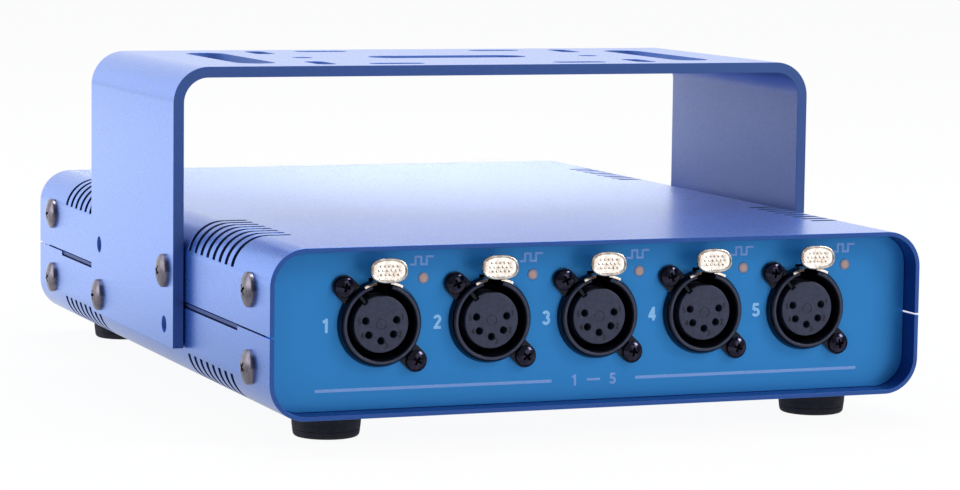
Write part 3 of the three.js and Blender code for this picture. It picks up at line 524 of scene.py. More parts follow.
def plate(outline, holes, low, high):
    """A flat plate with holes, in x and y, from low to high in z."""
    curve = bpy.data.curves.new("plate", "CURVE")
    curve.dimensions = "2D"
    curve.fill_mode = "BOTH"
    curve.extrude = (high - low) / 2
    for ring in [outline] + holes:
        spline = curve.splines.new("POLY")
        spline.points.add(len(ring) - 1)
        for target, (x, y) in zip(spline.points, ring):
            target.co = (x, y, 0, 1)
        spline.use_cyclic_u = True
    obj = new_object("plate", curve)
    bpy.context.view_layer.update()
    mesh = bpy.data.meshes.new_from_object(obj)
    bpy.data.curves.remove(curve)
    mesh.materials.clear()
    shape = bmesh.new()
    shape.from_mesh(mesh)
    bmesh.ops.remove_doubles(shape, verts=shape.verts, dist=1e-5)
    for vertex in shape.verts:
        vertex.co.z += (high + low) / 2
    bmesh.ops.dissolve_limit(shape, angle_limit=0.001, verts=shape.verts, edges=shape.edges)
    write_back(shape, mesh)
    return mesh


# ---- covers
def cover_stations(level):
    """A cover's (outer, inner) points from right to left, its vented strips and those that stop at
    the end zones."""
    def bend(radius):
        cx, cz = HALF_W - CORNER_R, HALF_H - CORNER_R
        vent = degrees(asin((VENT_Z - cz) / radius))
        return arc(cx, cz, radius, 0, vent, 2)[:-1] + arc(cx, cz, radius, vent, 90, BEND_STEPS)

    edges = [SEAM_TOP] if level > 0 else [-SEAM_LOW, -SEAM_DEEP]
    half = [((HALF_W, z), (HALF_W - WALL, z)) for z in edges]
    first_vented = len(half) + 2
    half += zip(bend(CORNER_R), bend(CORNER_R - WALL))
    vented = set(range(first_vented, len(half)))
    half.append(((VENT_X, HALF_H), (VENT_X, HALF_H - WALL)))
    last = 2 * len(half) - 2
    vented |= {last - strip for strip in vented}
    deep = {0, last} if level < 0 else set()
    half = [[(x, z * level) for x, z in pair] for pair in half]
    return half + [[(-x, z) for x, z in pair] for pair in reversed(half)], vented, deep


def cover_mesh(name, level):
    """A bent sheet with its vents, as one grid of cells between an outer and an inner skin."""
    stations, vented, deep = cover_stations(level)
    vents = [VENT_FROM + i * VENT_PITCH for i in range(VENTS)]
    vents += [CASE_D - y for y in vents]
    lip = PANEL_Y + PANEL_T / 2
    ys = {0.0, lip, END_ZONE, *[y + end * VENT_W / 2 for y in vents for end in (-1, 1)]}
    ys = sorted({round(y, 3) for y in ys | {CASE_D - y for y in ys}})
    rows, columns = len(stations), len(ys)
    outside_kind, inside_shade_kind, lip_shade_kind, rim_shade_kind = range(4)

    def present(i, j):
        if not (0 <= i < rows - 1 and 0 <= j < columns - 1):
            return False
        middle = (ys[j] + ys[j + 1]) / 2
        if i in vented and any(abs(middle - y) < VENT_W / 2 for y in vents):
            return False
        return not (i in deep and END_ZONE < middle < CASE_D - END_ZONE)

    def at(corner, inside):
        i, j = corner
        return (2 * i + inside) * columns + j

    points = [(x, y, z) for station in stations for x, z in station for y in ys]
    faces, kinds = [], []
    for i in range(rows - 1):
        for j in range(columns - 1):
            if not present(i, j):
                continue
            covered = lip < (ys[j] + ys[j + 1]) / 2 < CASE_D - lip
            corners = [(i, j), (i + 1, j), (i + 1, j + 1), (i, j + 1)]
            faces.append(tuple(at(corner, False) for corner in corners))
            faces.append(tuple(at(corner, True) for corner in reversed(corners)))
            # Inside the lips the inner skin and the vent walls take painted shade; the lips and the
            # rims take darker copies of the paint, also painted shade
            kinds += [outside_kind, inside_shade_kind if covered else lip_shade_kind]
            for side, (di, dj) in enumerate(((0, -1), (1, 0), (0, 1), (-1, 0))):
                if present(i + di, j + dj):
                    continue
                a, b = corners[side], corners[(side + 1) % 4]
                faces.append((at(a, False), at(b, False), at(b, True), at(a, True)))
                if covered:
                    on_seam = i + di in (-1, rows - 1)
                    kinds.append(outside_kind if on_seam else inside_shade_kind)
                else:
                    kinds.append(rim_shade_kind if dj else outside_kind)
    return mesh_of(name, [(points, faces)], (COVER, INSIDE_SHADE, LIP_SHADE, RIM_SHADE), kinds)


def build_covers():
    for cover, level in (("top_cover", 1), ("bottom_cover", -1)):
        name = f"{cover}_sheet"
        piece(name, cover_mesh(name, level), COVER, case(0, 0, 0), replaces=[cover], bevel=0.1)


# ---- yoke
def yoke_cutouts(half):
    """All holes of the flat bar of that half length: u along it, v across."""
    holes = [slot_outline(0, 0, CENTRE_SLOT)]
    for side in (-1, 1):
        holes.append(slot_outline(side * CLAMP_X, 0, CLAMP_SLOT, True))
        holes.append(circle(side * BOLT_HOLE_X, 0, BOLT_HOLE_R, 24))
        for end in (-1, 1):
            holes.append(slot_outline(side * LONG_BOLT[0], end * LONG_BOLT[1], BOLT_SLOT))
            holes.append(slot_outline(side * CROSS_BOLT[0], end * CROSS_BOLT[1], BOLT_SLOT, True))
    for side in (-1, 1):
        for level in (-1, 1):
            u = side * (half - (level * YOKE_SCREW_Z - YOKE_LOW))
            holes += [circle(u, along * YOKE_SCREW_Y, YOKE_HOLE_R, 20) for along in (-1, 1)]
    return holes


def yoke_mesh():
    """The flat bar with its cut-outs, bent at both shoulders."""
    middle_r = YOKE_R - YOKE_T / 2
    flat = YOKE_OUT - YOKE_R
    bend = middle_r * pi / 2
    half = flat + bend + YOKE_TOP - YOKE_R - YOKE_LOW
    outline = rectangle(-half, half, -YOKE_W / 2, YOKE_W / 2)
    mesh = plate(outline, yoke_cutouts(half), -YOKE_T / 2, YOKE_T / 2)
    for material in (COVER, CUT_SHADE, INNER_REFLECTION, EDGE_SHADE):
        mesh.materials.append(material)
    # The hole walls and rims take painted shade, the inner faces a painted reflection
    upper_kind, cut_shade_kind, lower_reflection_kind, rim_shade_kind = range(4)
    shape = bmesh.new()
    shape.from_mesh(mesh)
    for face in shape.faces:
        u, v, _ = face.calc_center_median()
        on_rim = abs(u) > half - 0.01 or abs(v) > YOKE_W / 2 - 0.01
        if abs(face.normal.z) < 0.5:
            face.material_index = rim_shade_kind if on_rim else cut_shade_kind
        else:
            face.material_index = lower_reflection_kind if face.normal.z < 0 else upper_kind
    steps = 18
    for side in (-1, 1):
        for i in range(steps + 1):
            bmesh.ops.bisect_plane(
                shape, geom=shape.verts[:] + shape.edges[:] + shape.faces[:],
                plane_co=(side * (flat + bend * i / steps), 0, 0), plane_no=(1, 0, 0), dist=1e-5,
            )
    for vertex in shape.verts:
        u, v, w = vertex.co
        side = 1 if u >= 0 else -1
        s = abs(u)
        if s <= flat:
            x, z = s, YOKE_TOP - YOKE_T / 2 + w
        elif s <= flat + bend:
            angle = (s - flat) / middle_r
            x = flat + (middle_r + w) * sin(angle)
            z = YOKE_TOP - YOKE_R + (middle_r + w) * cos(angle)
        else:
            x, z = YOKE_OUT - YOKE_T / 2 + w, YOKE_TOP - YOKE_R - (s - flat - bend)
        vertex.co = (side * x, v, z)
    write_back(shape, mesh)
    mesh.transform(Matrix.Scale(MM, 4))
    return mesh


def build_yoke():
    piece("yoke_bar", yoke_mesh(), COVER, case(0, CASE_D / 2, 0), replaces=["yoke_bracket"],
          bevel=0.35, segments=3)


# ---- screws
def cross_recess(top, outer, depth, width):
    """The tools that cut a cross recess: four tapered wings, pointing down -Y from y = top."""
    parts, w = [], width / 2
    above = rectangle(-w, outer, w, -w)
    below = [(-w * 0.8, w * 0.7), (width, w * 0.6), (width, -w * 0.6), (-w * 0.8, -w * 0.7)]
    for quarter in range(4):
        points = [(x, top + 1.0, z) for x, z in turned(above, quarter * 90)]
        points += [(x, top - depth, z) for x, z in turned(below, quarter * 90)]
        faces = [(0, 1, 2, 3), (7, 6, 5, 4)]
        faces += [(i, i + 4, (i + 1) % 4 + 4, (i + 1) % 4) for i in range(4)]
        parts.append((points, faces))
    return parts


def cut_mesh(mesh, tools, painted_cut_shade=None):
    """The mesh with (points, faces) tools cut out of it; the cuts may take a material of painted
    shade.
    """
    body = new_object("body", mesh)
    cutters = []
    for tool in tools:
        cutter = new_object("cutter", mesh_of("cutter", [tool], [painted_cut_shade] if painted_cut_shade else ()))
        modifier = body.modifiers.new("cut", "BOOLEAN")
        modifier.operation = "DIFFERENCE"
        modifier.solver = "EXACT"
        modifier.material_mode = "TRANSFER" if painted_cut_shade else "INDEX"
        modifier.object = cutter
        cutters.append(cutter)
    bpy.context.view_layer.update()
    graph = bpy.context.evaluated_depsgraph_get()
    result = bpy.data.meshes.new_from_object(body.evaluated_get(graph))
    result.name = mesh.name + "_cut"
    for obj in [body] + cutters:
        bpy.data.meshes.remove(obj.data)
    return result


def screw_mesh(name, material, head_r, head_h, shank_r, shank_l, wing):
    """A pan head with a cross recess; the head stands on y = 0 and points to +Y."""
    dome = [(head_r * a, head_h * b) for a, b in HEAD_DOME]
    profile = [(0, -shank_l), (shank_r, -shank_l), (shank_r, 0), (head_r, 0)]
    mesh = mesh_of(name, [lathe(profile + dome + [(0, head_h)], 40)], [material])
    # The recess's faces take painted shade
    return cut_mesh(mesh, cross_recess(head_h, wing, head_h * 0.62, wing * 0.4), RECESS_SHADE)


def add_screw(name, mesh, material, where, turn=STILL, replaces=(), bevel=0.04):
    """A screw whose cross stands at a random angle."""
    spin = Matrix.Rotation(rng.uniform(0, pi), 4, "Y")
    piece(name, mesh, material, where, turn @ spin, replaces=replaces, bevel=bevel)


def build_case_screws():
    mesh = screw_mesh("case_screw", NICKEL, *CASE_SCREW)
    for side, side_name in SIDES:
        outward = turn_about("Z", -90 * side)

        def add(node, where):
            add_screw(f"{node}_head", mesh, NICKEL, where, outward, [node], 0.06)

        for end, end_name in ENDS:
            y = CASE_D - CASE_SCREW_Y if end else CASE_SCREW_Y
            for level, level_name in LEVELS:
                add(f"case_screw_{side_name}_{end_name}_{level_name}",
                    case(side * HALF_W, y, level * CASE_SCREW_Z))
        for _, level_name in LEVELS:
            node = f"yoke_screw_{side_name}_{level_name}"
            low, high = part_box(node)
            middle = (low + high) / 2
            add(node, Vector((side * YOKE_OUT * MM, middle.y, middle.z)))


# ---- sockets
def ear_part(angle):
    """One screw ear outside the ring, at an angle."""
    start = sqrt(BARREL_R ** 2 - EAR_R ** 2)
    outline = [(start, -EAR_R)] + arc(hypot(EAR_AT, EAR_AT), 0, EAR_R, -90, 90, 14)
    spread = degrees(asin(EAR_R / BARREL_R))
    outline += [(start, EAR_R)] + arc(0, 0, BARREL_R, spread, -spread, 6)[1:-1]
    return prism(turned(outline, angle), -EAR_T, 0)


def socket_mesh(name, floor, notch):
    """Ring, barrel, ears and carrier of one socket; a notch at the top holds the latch."""
    ring = [
        (BORE_R, RING_Y + 0.5), (BORE_R + 0.3, RING_Y), (BORE_R + 0.95, RING_Y),
        (RING_R - 0.4, RING_Y + 0.3), (RING_R, RING_Y + 1.0), (BASE_R, 0), (BARREL_R, 0),
    ]
    if notch:
        ring = [(BORE_R, BORE_END)] + ring + [(BARREL_R, BORE_END)]
        half = degrees(asin(NOTCH_HALF / RING_R))
        end = [(0, 10), (BORE_R, 10), (BORE_R, BORE_END), (BARREL_R, BORE_END),
               (BARREL_R, BARREL_END), (0, BARREL_END)]
        parts = [
            lathe(round_profile(ring, 0.2), 64, 90 + half, 360 - 2 * half),
            lathe(round_profile(end, 0.05), 64),
        ]
    else:
        ring = [(0, floor), (BORE_R, floor)] + ring + [(BARREL_R, BARREL_END), (0, BARREL_END)]
        parts = [lathe(round_profile(ring, 0.2), 64)]
    parts += [
        ear_part(135), ear_part(-45), prism(round_outline(7, 7, 1), 11, 16),
        prism(rectangle(-3, 3, -10.6, -6), BARREL_END, 16),
    ]
    mesh = mesh_of(name, parts, (BLACK, PIT_SHADE, INSERT))
    _, bore_shade_kind, crest_highlight_kind = range(3)
    for face in mesh.polygons:
        x, y, z = face.center / MM
        # Painted highlight: the ring's front crest takes the insert's lighter plastic as a light
        # line along its edge
        if y < RING_Y + 0.06:
            face.material_index = crest_highlight_kind
        # Painted shade inside the bore
        elif hypot(x, z) < BORE_R + 0.1 and y < 10.1:
            face.material_index = bore_shade_kind
    return mesh


def at_contacts(part):
    """Copies of a part at the five contacts."""
    spots = [polar(CONTACT_AT, angle) for angle in CONTACTS.values()]
    return [shifted(part, x, 0, z) for x, z in spots]


def insert_mesh():
    """The insert: a rounded drum with a flat on top, contact holes, a key notch and a ring."""
    face, clear = INSERT_Y, INSERT_Y - 1
    drum = round_profile(rectangle(0, INSERT_R, face, 10), 0.35)
    hole = [(0, face + 9), (CONTACT_R, face + 9), (CONTACT_R, face + 0.35),
            (CONTACT_R + 0.35, clear), (0, clear)]
    ring = rectangle(1.25, 1.45, face + 0.12, clear)
    tools = at_contacts(lathe(hole, 20)) + [
        lathe(ring + ring[:1], 32), prism(rectangle(-8, 8, 7.2, 9), clear, 4),
        prism(turned(rectangle(6.7, 8, -0.75, 0.75), KEY_ANGLE), clear, 3),
    ]
    return cut_mesh(mesh_of("insert", [lathe(drum, 64)]), tools)


def contact_marks():
    """The contact numbers beside their holes."""
    parts = []
    offsets = {1: (1.55, 0.7), 2: (1.75, 0.0), 3: (1.35, -1.25), 4: (-1.8, 0.0), 5: (-1.8, -0.2)}
    for number, angle in CONTACTS.items():
        (x, z), (dx, dz) = polar(CONTACT_AT, angle), offsets[number]
        strokes = digit_part(str(number), x + dx, z + dz, 1.55, 0.3)
        parts += [shifted(part, 0, INSERT_Y + 0.01, 0) for part in strokes]
    return mesh_of("contact_numbers", parts)


def lever_parts():
    """The latch's arm with its hook, the cross pin, and the two chrome strips on the ring."""
    top, low = PIVOT_Z + ARM_HALF_T, PIVOT_Z - ARM_HALF_T
    arm = prism([
        (8.2, top), (PIVOT_Y, top), (ARM_FRONT, top + ARM_RISE), (ARM_FRONT, low + ARM_RISE),
        (PIVOT_Y, low), (6.7, low), (7.45, BORE_R - 0.7), (8.2, BORE_R - 0.7),
    ], -ARM_HALF_W, ARM_HALF_W, axis="x")
    points, faces = lathe(rectangle(0, PIN_R, -PIN_HALF, PIN_HALF), 16)
    parts = [arm, ([(y, x + PIVOT_Y, z + PIVOT_Z) for x, y, z in points], faces)]
    for middle in (109, 71):
        band = arc(0, 0, RING_R + 0.35, middle - 9, middle + 9, 6)
        band += arc(0, 0, RING_R - 0.4, middle + 9, middle - 9, 6)
        points, faces = prism(band, RING_Y - 0.75, RING_Y - 0.35)
        parts.append(([(x, y + TAB_LEAN * (z - RING_R), z) for x, y, z in points], faces))
    return parts


def tab_outline(scale):
    """The tab's oval, a little squarer than an ellipse, drawn in from its rim by the scale."""
    half_w, half_h = TAB_W - TAB_H * (1 - scale), TAB_H * scale
    return [
        (half_w * copysign(abs(x) ** TAB_POWER, x), half_h * copysign(abs(z) ** TAB_POWER, z))
        for x, z in circle(0, 0, 1, TAB_SIDES)
    ]


def tab_part():
    """The oval tab: a dished plate with a raised rim and small grip beads."""
    section = [
        (1.0, 0.0), (1.0, 0.6), (0.975, 0.84), (0.93, 0.97), (0.88, 1.0), (0.83, 0.93),
        (0.79, 0.74), (0.75, 0.66),
    ]
    points, faces = [(x, 0.5 - y, z) for scale, y in section for x, z in tab_outline(scale)], []
    count, last = TAB_SIDES, (len(section) - 1) * TAB_SIDES
    for low in range(0, last, count):
        faces += [
            (low + i, low + (i + 1) % count, low + count + (i + 1) % count, low + count + i)
            for i in range(count)
        ]
    faces += [tuple(reversed(range(count))), tuple(range(last, last + count))]
    bead = lathe([(0, -0.42), (0.16, -0.4), (0.3, -0.3), (0.34, -0.1), (0, -0.1)], 10)
    parts = [(points, faces)]
    for z, start in ((-1.1, 0), (0.0, 0.575), (1.1, 0)):
        for column in range(-3, 4):
            x = column * 1.15 + start
            if hypot(x / 3.7, z / 1.9) < 1:
                parts.append(shifted(bead, x, 0, z))
    tilt = -atan(TAB_LEAN)
    c, s = cos(tilt), sin(tilt)
    points, faces = joined(parts)
    return [(x, c * y - s * z + TAB_Y, s * y + c * z + TAB_Z) for x, y, z in points], faces


def build_output(prefix, where, turn, meshes):
    """One output socket, with its latch on a body of its own."""
    for tail, kind, material, node, bevel in (
        ("ring", "shell", BLACK, "shell", 0.18), ("core", "insert", INSERT, "insert", 0.0),
        ("key", "key", BLACK, None, 0.08), ("numbers", "numbers", NUMBER_SHADE, None, 0.0),
        ("pit_shades", "pit_shades", PIT_SHADE, None, 0.0), ("lever", "latch", CHROME, "latch", 0.1),
    ):
        piece(f"{prefix}_{tail}", meshes[kind], material, where, turn,
              body=f"{prefix}_latch" if kind == "latch" else "case",
              replaces=[f"{prefix}_{node}"] if node else (), bevel=bevel)


def build_sockets():
    # Black plugs set deep in the contact holes as painted shade
    pit_shade = lathe(rectangle(0, CONTACT_R - 0.02, 1.2, 2.2), 20)
    key = prism(turned(rectangle(6.6, 9.3, -0.45, 0.45), KEY_ANGLE), INSERT_Y + 0.7, 10)
    meshes = {
        "shell": socket_mesh("socket_shell", 10, True),
        "insert": insert_mesh(),
        "key": mesh_of("key", [key]),
        "numbers": contact_marks(),
        "pit_shades": mesh_of("pit_shades", at_contacts(pit_shade)),
        "latch": mesh_of("latch", lever_parts() + [tab_part()]),
    }
    screw, lamp_body = screw_mesh("socket_screw", BLACK_SCREW, *SOCKET_SCREW), lamp_mesh()
    ears = ((-1, "upper"), (1, "lower"))
    for number, x in SOCKETS:
        prefix = f"output_{number}"
        build_output(prefix, front(x, 0, SOCKET_Z), STILL, meshes)
        for end, level in ears:
            node = f"{prefix}_screw_{level}"
            place = front(x + end * EAR_AT, -EAR_T, SOCKET_Z - end * EAR_AT)
            add_screw(f"{node}_head", screw, BLACK_SCREW, place, TO_REAR, [node])
        piece(f"lamp_{number}_lens", lamp_body, LAMP, front(x + LAMP_X, 0, SOCKET_Z + LAMP_Z),
              replaces=[f"lamp_{number}"])
    build_output("link", rear(LINK_X, SOCKET_Z), TO_REAR, meshes)
    build_input()
    for centre, name in ((LINK_X, "link"), (INPUT_X, "input")):
        for end, level in ears:
            place = rear(centre - end * EAR_AT, SOCKET_Z - end * EAR_AT, EAR_T)
            add_screw(f"{name}_screw_{level}", screw, BLACK_SCREW, place)


def lamp_mesh():
    """A lamp for the panel, with two leads bent down to the board."""
    dome = [(LAMP_R * x, -LAMP_PROUD * y) for x, y in arc(0, 0, 1, 0, 90, 8)]
    profile = [(0, 5), (1.9, 5), (1.9, 4), (LAMP_R, 4)] + dome[:-1] + [(0, -LAMP_PROUD)]
    half, foot = 0.25, -22.1
    leads = [
        prism([(3.9, z + half), (back + half, z + half), (back + half, foot), (back - half, foot),
               (back - half, z - half), (3.9, z - half)], -half, half, axis="x")
        for z, back in ((-0.635, 16.0), (0.635, 18.5))
    ]
    return mesh_of("lamp", [lathe(round_profile(profile, 0.1), 32)] + leads)


def build_input():
    """The rear input: a ring with five pins instead of an insert."""
    where = rear(INPUT_X, SOCKET_Z)
    piece("input_ring", socket_mesh("input_shell", 8, False), BLACK, where, TO_REAR,
          replaces=["input_connector"], bevel=0.18)
    pin = round_profile([(0, -1.4), (0.62, -1.4), (0.95, -0.8), (0.95, 8.5), (0, 8.5)], 0.2)
    piece("input_pins", mesh_of("pins", at_contacts(lathe(pin, 20))), BLADE, where, TO_REAR)


# ---- feet
def build_feet():
    profile = round_profile([
        (0, FOOT_SEAT), (4, FOOT_SEAT), (4, 0), (8.7, 0), (9.1, 3.2), (9.35, FOOT_H), (0, FOOT_H),
    ], 1.1, 6)
    groove = [(10, 1.75), (8.55, 1.95), (10, 2.15), (10, 1.75)]
    mesh = cut_mesh(mesh_of("foot", [lathe(profile, 56)]), [lathe(groove, 56)])
    screw = screw_mesh("foot_screw", NICKEL, *FOOT_SCREW)
    for side, side_name in SIDES:
        for end, end_name in ENDS:
            node = f"foot_{end_name}_{side_name}"
            x, y = side * FOOT_X, CASE_D - FOOT_Y if end else FOOT_Y
            ground = -HALF_H - FOOT_H
            piece(f"{node}_pad", mesh, RUBBER, case(x, y, ground), turn_about("X", 90),
                  replaces=[node])
            piece(f"{node}_screw", screw, NICKEL, case(x, y, ground + FOOT_SEAT),
                  turn_about("X", -90), bevel=0.04)


# ---- inlet
def build_inlet():
    cavity = [(-12.2, -8.3), (12.2, -8.3), (12.2, 4.8), (8.7, 8.3), (-8.7, 8.3), (-12.2, 4.8)]
    tool = prism(cavity, -5, 13)
    flange = mesh_of("inlet_body", [prism(round_outline(25, 12, 9, 10), -INLET_T, 0)])
    block = mesh_of("inlet_block", [prism(round_outline(13.5, 9.75, 1), -0.5, 20)])
    where = rear(INLET_X, 0)
    piece("inlet_flange", cut_mesh(flange, [tool]), BLACK, where, TO_REAR,
          replaces=["mains_inlet"], bevel=0.4, segments=3)
    piece("inlet_body", cut_mesh(block, [tool]), BLACK, where, TO_REAR, bevel=0.3)
    blades = [
        prism(rectangle(x - half, x + half, z - 2, z + 2), start, end)
        for half, start, end in ((1, -1, 14), (0.4, 19, 27)) for x, z in BLADES
    ]
    piece("inlet_blades", mesh_of("blades", blades), BLADE, where, TO_REAR, bevel=0.3)
    screw = screw_mesh("inlet_screw", BLACK_SCREW, *SOCKET_SCREW)
    for side, side_name in SIDES:
        place = rear(INLET_X + side * INLET_SCREW_X, 0, INLET_T)
        add_screw(f"inlet_screw_{side_name}", screw, BLACK_SCREW, place)


# ---- panels
def socket_hole(x, with_latch):
    """The hole behind a socket's ring, with a notch above it for the latch."""
    radius = RING_R - 0.3
    if not with_latch:
        return circle(x, SOCKET_Z, radius, 40)
    start = 90 + degrees(asin(NOTCH_HALF / radius))
    outline = arc(x, SOCKET_Z, radius, start, 540 - start, 40)
    top = SOCKET_Z + 12
    return outline + [(x + NOTCH_HALF, top), (x - NOTCH_HALF, top)]


def build_panel(name, holes, where, turn=STILL):
    """An end panel: a plate with rounded corners and a folded flange at each side."""
    mesh = plate(round_outline(PANEL_X, PANEL_Z, PANEL_R, 12), holes, -PANEL_T, 0)
    mesh.transform(turn_about("X", 90))
    mesh.transform(Matrix.Scale(MM, 4))
    piece(f"{name}_plate", mesh, PANEL, where, turn, replaces=[name], bevel=0.12)
    flanges = [
        prism(rectangle(x, x + PANEL_T, -FLANGE_Z, FLANGE_Z), PANEL_T - 0.1, FLANGE_L)
        for x in (-PANEL_X, PANEL_X - PANEL_T)
    ]
    # The flanges take the painted shade of the case's inside
    piece(f"{name}_flanges", mesh_of("flanges", flanges), INSIDE_SHADE, where, turn, bevel=0.3)


def build_panels():
    holes = []
    for _, x in SOCKETS:
        holes.append(socket_hole(x, True))
        holes.append(circle(x + LAMP_X, SOCKET_Z + LAMP_Z, LAMP_R + 0.06, 24))
    build_panel("front_panel", holes, front(0, 0, 0))
    inlet = [(x - INLET_X, z) for x, z in round_outline(13.8, 10, 1, 3)]
    holes = [socket_hole(-INPUT_X, False), socket_hole(-LINK_X, True), inlet]
    build_panel("rear_panel", holes, rear(0, 0), TO_REAR)


# ---- print
def stroke(path, width, low=-0.05):
    """A flat line along a path of (x, z), from y = low to 0, mitred, with square ends."""
    spots = [Vector(spot) for spot in path]
    ways = [(after - before).normalized() for before, after in zip(spots, spots[1:])]
    left, right = [], []
    for here, a, b in zip(spots, ways[:1] + ways, ways + ways[-1:]):
        middle = (a + b).normalized()
        across = Vector((-middle.y, middle.x))
        reach = width / 2 / max(0.3, across.dot(Vector((-a.y, a.x))))
        left.append(tuple(here + across * reach))
        right.append(tuple(here - across * reach))
    points = [(x, y, z) for y in (low, 0.0) for x, z in left + right]
    n = len(path)
    sides = ((0, n), (3 * n, 2 * n), (2 * n, 0), (n, 3 * n))
    faces = [(a + i, a + i + 1, b + i + 1, b + i) for i in range(n - 1) for a, b in sides]
    faces += [(0, n, 3 * n, 2 * n), (2 * n - 1, n - 1, 3 * n - 1, 4 * n - 1)]
    return points, faces


# Plain digits as paths in a box 2 wide and 4 high, centred
DIGITS = {
    "1": [[(0.2, -2), (0.2, 2)], [(-0.85, 1.02), (-0.2, 1.3), (0.3, 1.75)]],
    "2": [arc(0, 0.84, 0.8, 172, -38, 12) + [(-0.75, -1.7)], [(-1.12, -1.64), (1.1, -1.64)]],
    "3": [arc(-0.04, 0.92, 0.76, 165, -88, 12), arc(-0.02, -0.82, 0.86, 88, -168, 12)],
    "4": [[(0.42, -2), (0.42, 2)], [(0.4, 1.8), (-0.92, -0.7)], [(-1.22, -0.75), (1.15, -0.75)]],
    "5": [[(-0.86, 1.64), (1.0, 1.64)], [(-0.55, 1.7), (-0.72, 0.05)],
          arc(0, -0.68, 0.92, 138, -158, 14)],
}


def digit_part(digit, x, z, height, weight):
    """The strokes of a digit, each a hair higher than the last so that none share a plane."""
    scale = height / 4
    return [
        stroke([(x + a * scale, z + b * scale) for a, b in path], weight, -0.05 - 0.004 * level)
        for level, path in enumerate(DIGITS[digit])
    ]


def build_print():
    """Numbers and lines on the front panel; a plain square wave stands beside each lamp."""
    wave = [(-3.3, -1), (-1.75, -1), (-1.75, 1), (-0.2, 1), (-0.2, -1), (1.35, -1), (1.35, 1),
            (3.3, 1)]
    fine = [stroke([(start, LINE_Z), (end, LINE_Z)], LINE_W) for start, end in LINES]
    fine += digit_part("1", -6.2, LINE_Z, 3.0, 0.6) + digit_part("5", 4.8, LINE_Z, 3.0, 0.6)
    fine.append(stroke([(-2.6, LINE_Z), (1.2, LINE_Z)], 0.6))
    bold = []
    for number, x in SOCKETS:
        bold += digit_part(str(number), x + NUMBER_X, SOCKET_Z + NUMBER_Z, NUMBER_H, NUMBER_W)
        path = [(x + PULSE_X + a, SOCKET_Z + PULSE_Z + b) for a, b in wave]
        fine.append(stroke(path, PULSE_W))
    place = front(0, -0.01, 0)
    piece("panel_numbers", mesh_of("panel_numbers", bold), PRINT, place)
    piece("panel_lines", mesh_of("panel_lines", fine), FINE_PRINT, place)


# ---- inside
def paint_nodes():
    """Paints the nodes of the frame that no piece replaces."""
    for name, finish in (("side_rail_left", RAIL), ("side_rail_right", RAIL),
                         ("main_board", BOARD), ("power_supply", SUPPLY)):
        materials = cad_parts[name].data.materials
        materials.clear()
        materials.append(finish)


def build_standoffs():
    """The boards' standoffs, which the bottom cover's sheet leaves out."""
    board, supply = SOCKET_Z - 12.2, SOCKET_Z - 17.7
    places = [(x, y, board) for y in (23.8, 105.8) for x in (-81.8, 81.8)]
    places += [(-81.8, 218.2, board), (11.8, 218.2, board)]
    places += [(x, y, supply) for y in (123, 197) for x in (29.8, 81.8)]
    parts = [prism(circle(x, y, 3, 16), -HALF_H + WALL, top, axis="z") for x, y, top in places]
    piece("board_standoffs", mesh_of("standoffs", parts), NICKEL, case(0, 0, 0))


# ---- stage
def lamp(name, place, size, power, color, target=(0, 0, 0.05), spread=180):
    """A rectangular lamp, hidden from the camera; places are in metres."""
    data = bpy.data.lights.new(name, "AREA")
    data.shape = "RECTANGLE"
    data.size, data.size_y = size
    data.energy = power
    data.color = color
    data.spread = radians(spread)
    obj = new_object(name, data)
    obj.location = place
    obj.rotation_euler = (Vector(target) - Vector(place)).to_track_quat("-Z", "Y").to_euler()
    obj.visible_camera = False


def math_node(tree, operation, first, second):
    return new_node(tree, "ShaderNodeMath", {0: first, 1: second}, operation=operation).outputs[0]


def times(tree, value, *others):
    for other in others:
        value = math_node(tree, "MULTIPLY", value, other)
    return value


def seen_ray(tree, rays, glossy):
    """1 for camera and transmission rays; glossy rays count by the given share."""
    straight = math_node(tree, "MAXIMUM", rays["Is Camera Ray"], rays["Is Transmission Ray"])
    return math_node(tree, "MAXIMUM", straight, times(tree, rays["Is Glossy Ray"], glossy))


def fade(tree, vector, axis, start, end, low, high):
    """A value that runs smoothly from low to high along one axis."""
    split = new_node(tree, "ShaderNodeSeparateXYZ", {0: vector})
    return map_range(tree, split.outputs[axis], start, end, low, high, "SMOOTHSTEP")


def mix_shaders(tree, output, share, first, second):
    """Mixes two shaders into the tree's output."""
    mix = new_node(tree, "ShaderNodeMixShader", {0: share, 1: first, 2: second})
    tree.links.new(mix.outputs[0], tree.nodes[output].inputs["Surface"])


def build_world():
    """A white backdrop behind and beside the object, and a dimmer room in front of it."""
    world = bpy.data.worlds.new("studio")
    world.use_nodes = True
    tree = world.node_tree
    around = new_node(tree, "ShaderNodeTexCoord", {}).outputs["Generated"]
    rays = new_node(tree, "ShaderNodeLightPath", {}).outputs
    plain = tree.nodes["Background"]
    plain.inputs["Color"].default_value = (0.86, 0.9, 1.0, 1)
    room = fade(tree, around, "Y", -0.6, 0.3, 0.2475, 0.66)
    put(tree, plain.inputs["Strength"], room)
    white = new_node(tree, "ShaderNodeBackground", {"Color": (1, 1, 1, 1)})
    back = fade(tree, around, "Y", -0.5, 0.3, 0.0, 1.0)
    low = fade(tree, around, "Z", 0.08, 0.45, 1.0, 0.55)
    share = seen_ray(tree, rays, times(tree, back, low))
    mix_shaders(tree, "World Output", share, plain.outputs[0], white.outputs[0])
    bpy.context.scene.world = world


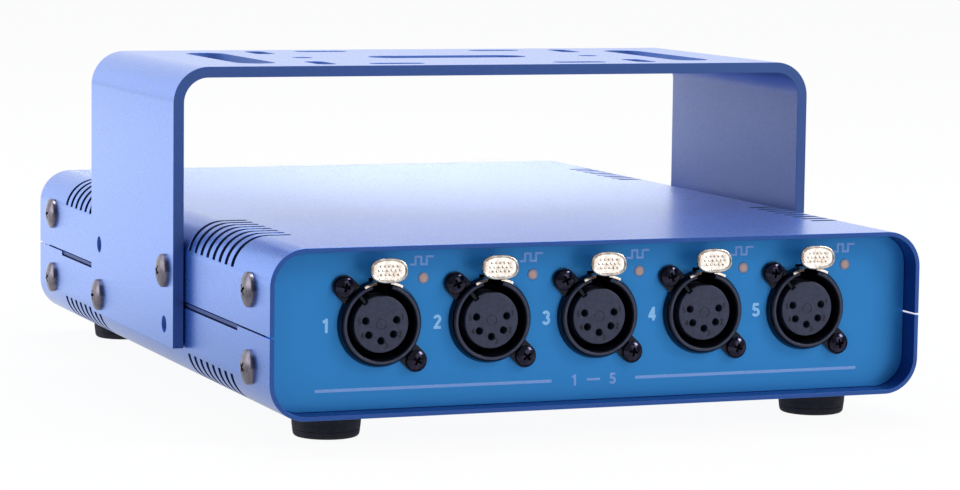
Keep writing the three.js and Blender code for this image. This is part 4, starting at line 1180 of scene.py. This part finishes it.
def build_floor():
    """A pale floor with the object's shadow; mirrored, it dims to the front and the left."""
    size = 6.0
    mesh = bpy.data.meshes.new("floor")
    corners = [(x, y, 0) for x, y in rectangle(-size, size, -size, size)]
    mesh.from_pydata(corners, [], [(0, 1, 2, 3)])
    n = Nodes("floor")
    tone = n.ramp(n.noise(4), (0.3, rgb(244, 245, 248)), (0.7, rgb(248, 249, 251)))
    n.set(Base_Color=tone, Roughness=0.7)
    tree = n.tree
    rays = n.add("ShaderNodeLightPath", {}).outputs
    near = fade(tree, n.place, "Y", -0.8, -0.45, 0.05, 1.0)
    back = fade(tree, n.place, "Y", 0.0, 0.3, 0.6, 1.1)
    far = fade(tree, n.place, "Y", 0.4, 0.9, 1.0, 1.22)
    left = fade(tree, n.place, "X", -0.65, -0.42, 0.4, 1.0)
    mirrored = times(tree, near, times(tree, back, far), left)
    glossy = rays["Is Glossy Ray"]
    dimmed = times(tree, glossy, math_node(tree, "SUBTRACT", mirrored, 1.0))
    strength = math_node(tree, "ADD", dimmed, 1.0)
    glow = n.add("ShaderNodeEmission", {"Color": (1, 1, 1, 1), "Strength": strength})
    seen = times(tree, seen_ray(tree, rays, 0.0), 0.94)
    share = math_node(tree, "MAXIMUM", seen, glossy)
    mix_shaders(tree, "Material Output", share, n.shader.outputs[0], glow.outputs[0])
    mesh.materials.append(n.material)
    obj = new_object("floor", mesh)


def build_camera():
    """A pinhole camera at the photograph's angle."""
    yaw, pitch, roll = (radians(v) for v in (21.309, -6.0745, 0.7328))
    forward = Vector((sin(yaw) * cos(pitch), cos(yaw) * cos(pitch), sin(pitch)))
    level = Vector((cos(yaw), -sin(yaw), 0))
    upright = level.cross(forward)
    right = level * cos(roll) + upright * sin(roll)
    up = upright * cos(roll) - level * sin(roll)
    data = bpy.data.cameras.new("camera")
    data.sensor_fit = "HORIZONTAL"
    data.sensor_width = 36
    data.lens = 3346.93 / 960 * data.sensor_width
    data.clip_end = 50
    obj = new_object("camera", data)
    matrix = Matrix((right, up, -forward)).transposed().to_4x4()
    matrix.translation = case(-349.47, -803.39, 113.65)
    obj.matrix_world = matrix
    bpy.context.scene.camera = obj


def build_lights():
    white = (1.0, 1.0, 1.0)
    lamp("side", (-1.7, 0.7, 0.7), (1.6, 1.6), 9.6, (0.96, 0.98, 1.0))
    lamp("key", (1.3, -1.2, 1.15), (0.6, 0.6), 16, (1.0, 0.98, 0.96), (0, 0, 0.03))
    lamp("card", (0.8, -1.74, 0.6), (1.0, 0.8), 3.0, white)
    lamp("top", (-0.2, 0.5, 1.7), (1.4, 1.4), 7, (0.95, 0.98, 1.0))
    lamp("glint", (0.2, 0.35, 1.5), (0.4, 0.4), 5, white)
    # A narrow beam along the top cover
    lamp("low", (0.14, 0.5, 0.19), (0.5, 0.01), 0.0016, (0.92, 0.96, 1.0), (0, 0.13, 0.052), 12)


build_camera()
build_world()
build_lights()
build_floor()
build_covers()
build_yoke()
build_case_screws()
build_sockets()
build_feet()
build_inlet()
build_panels()
build_print()
build_standoffs()
paint_nodes()
bpy.context.scene.view_settings.view_transform = "Standard"
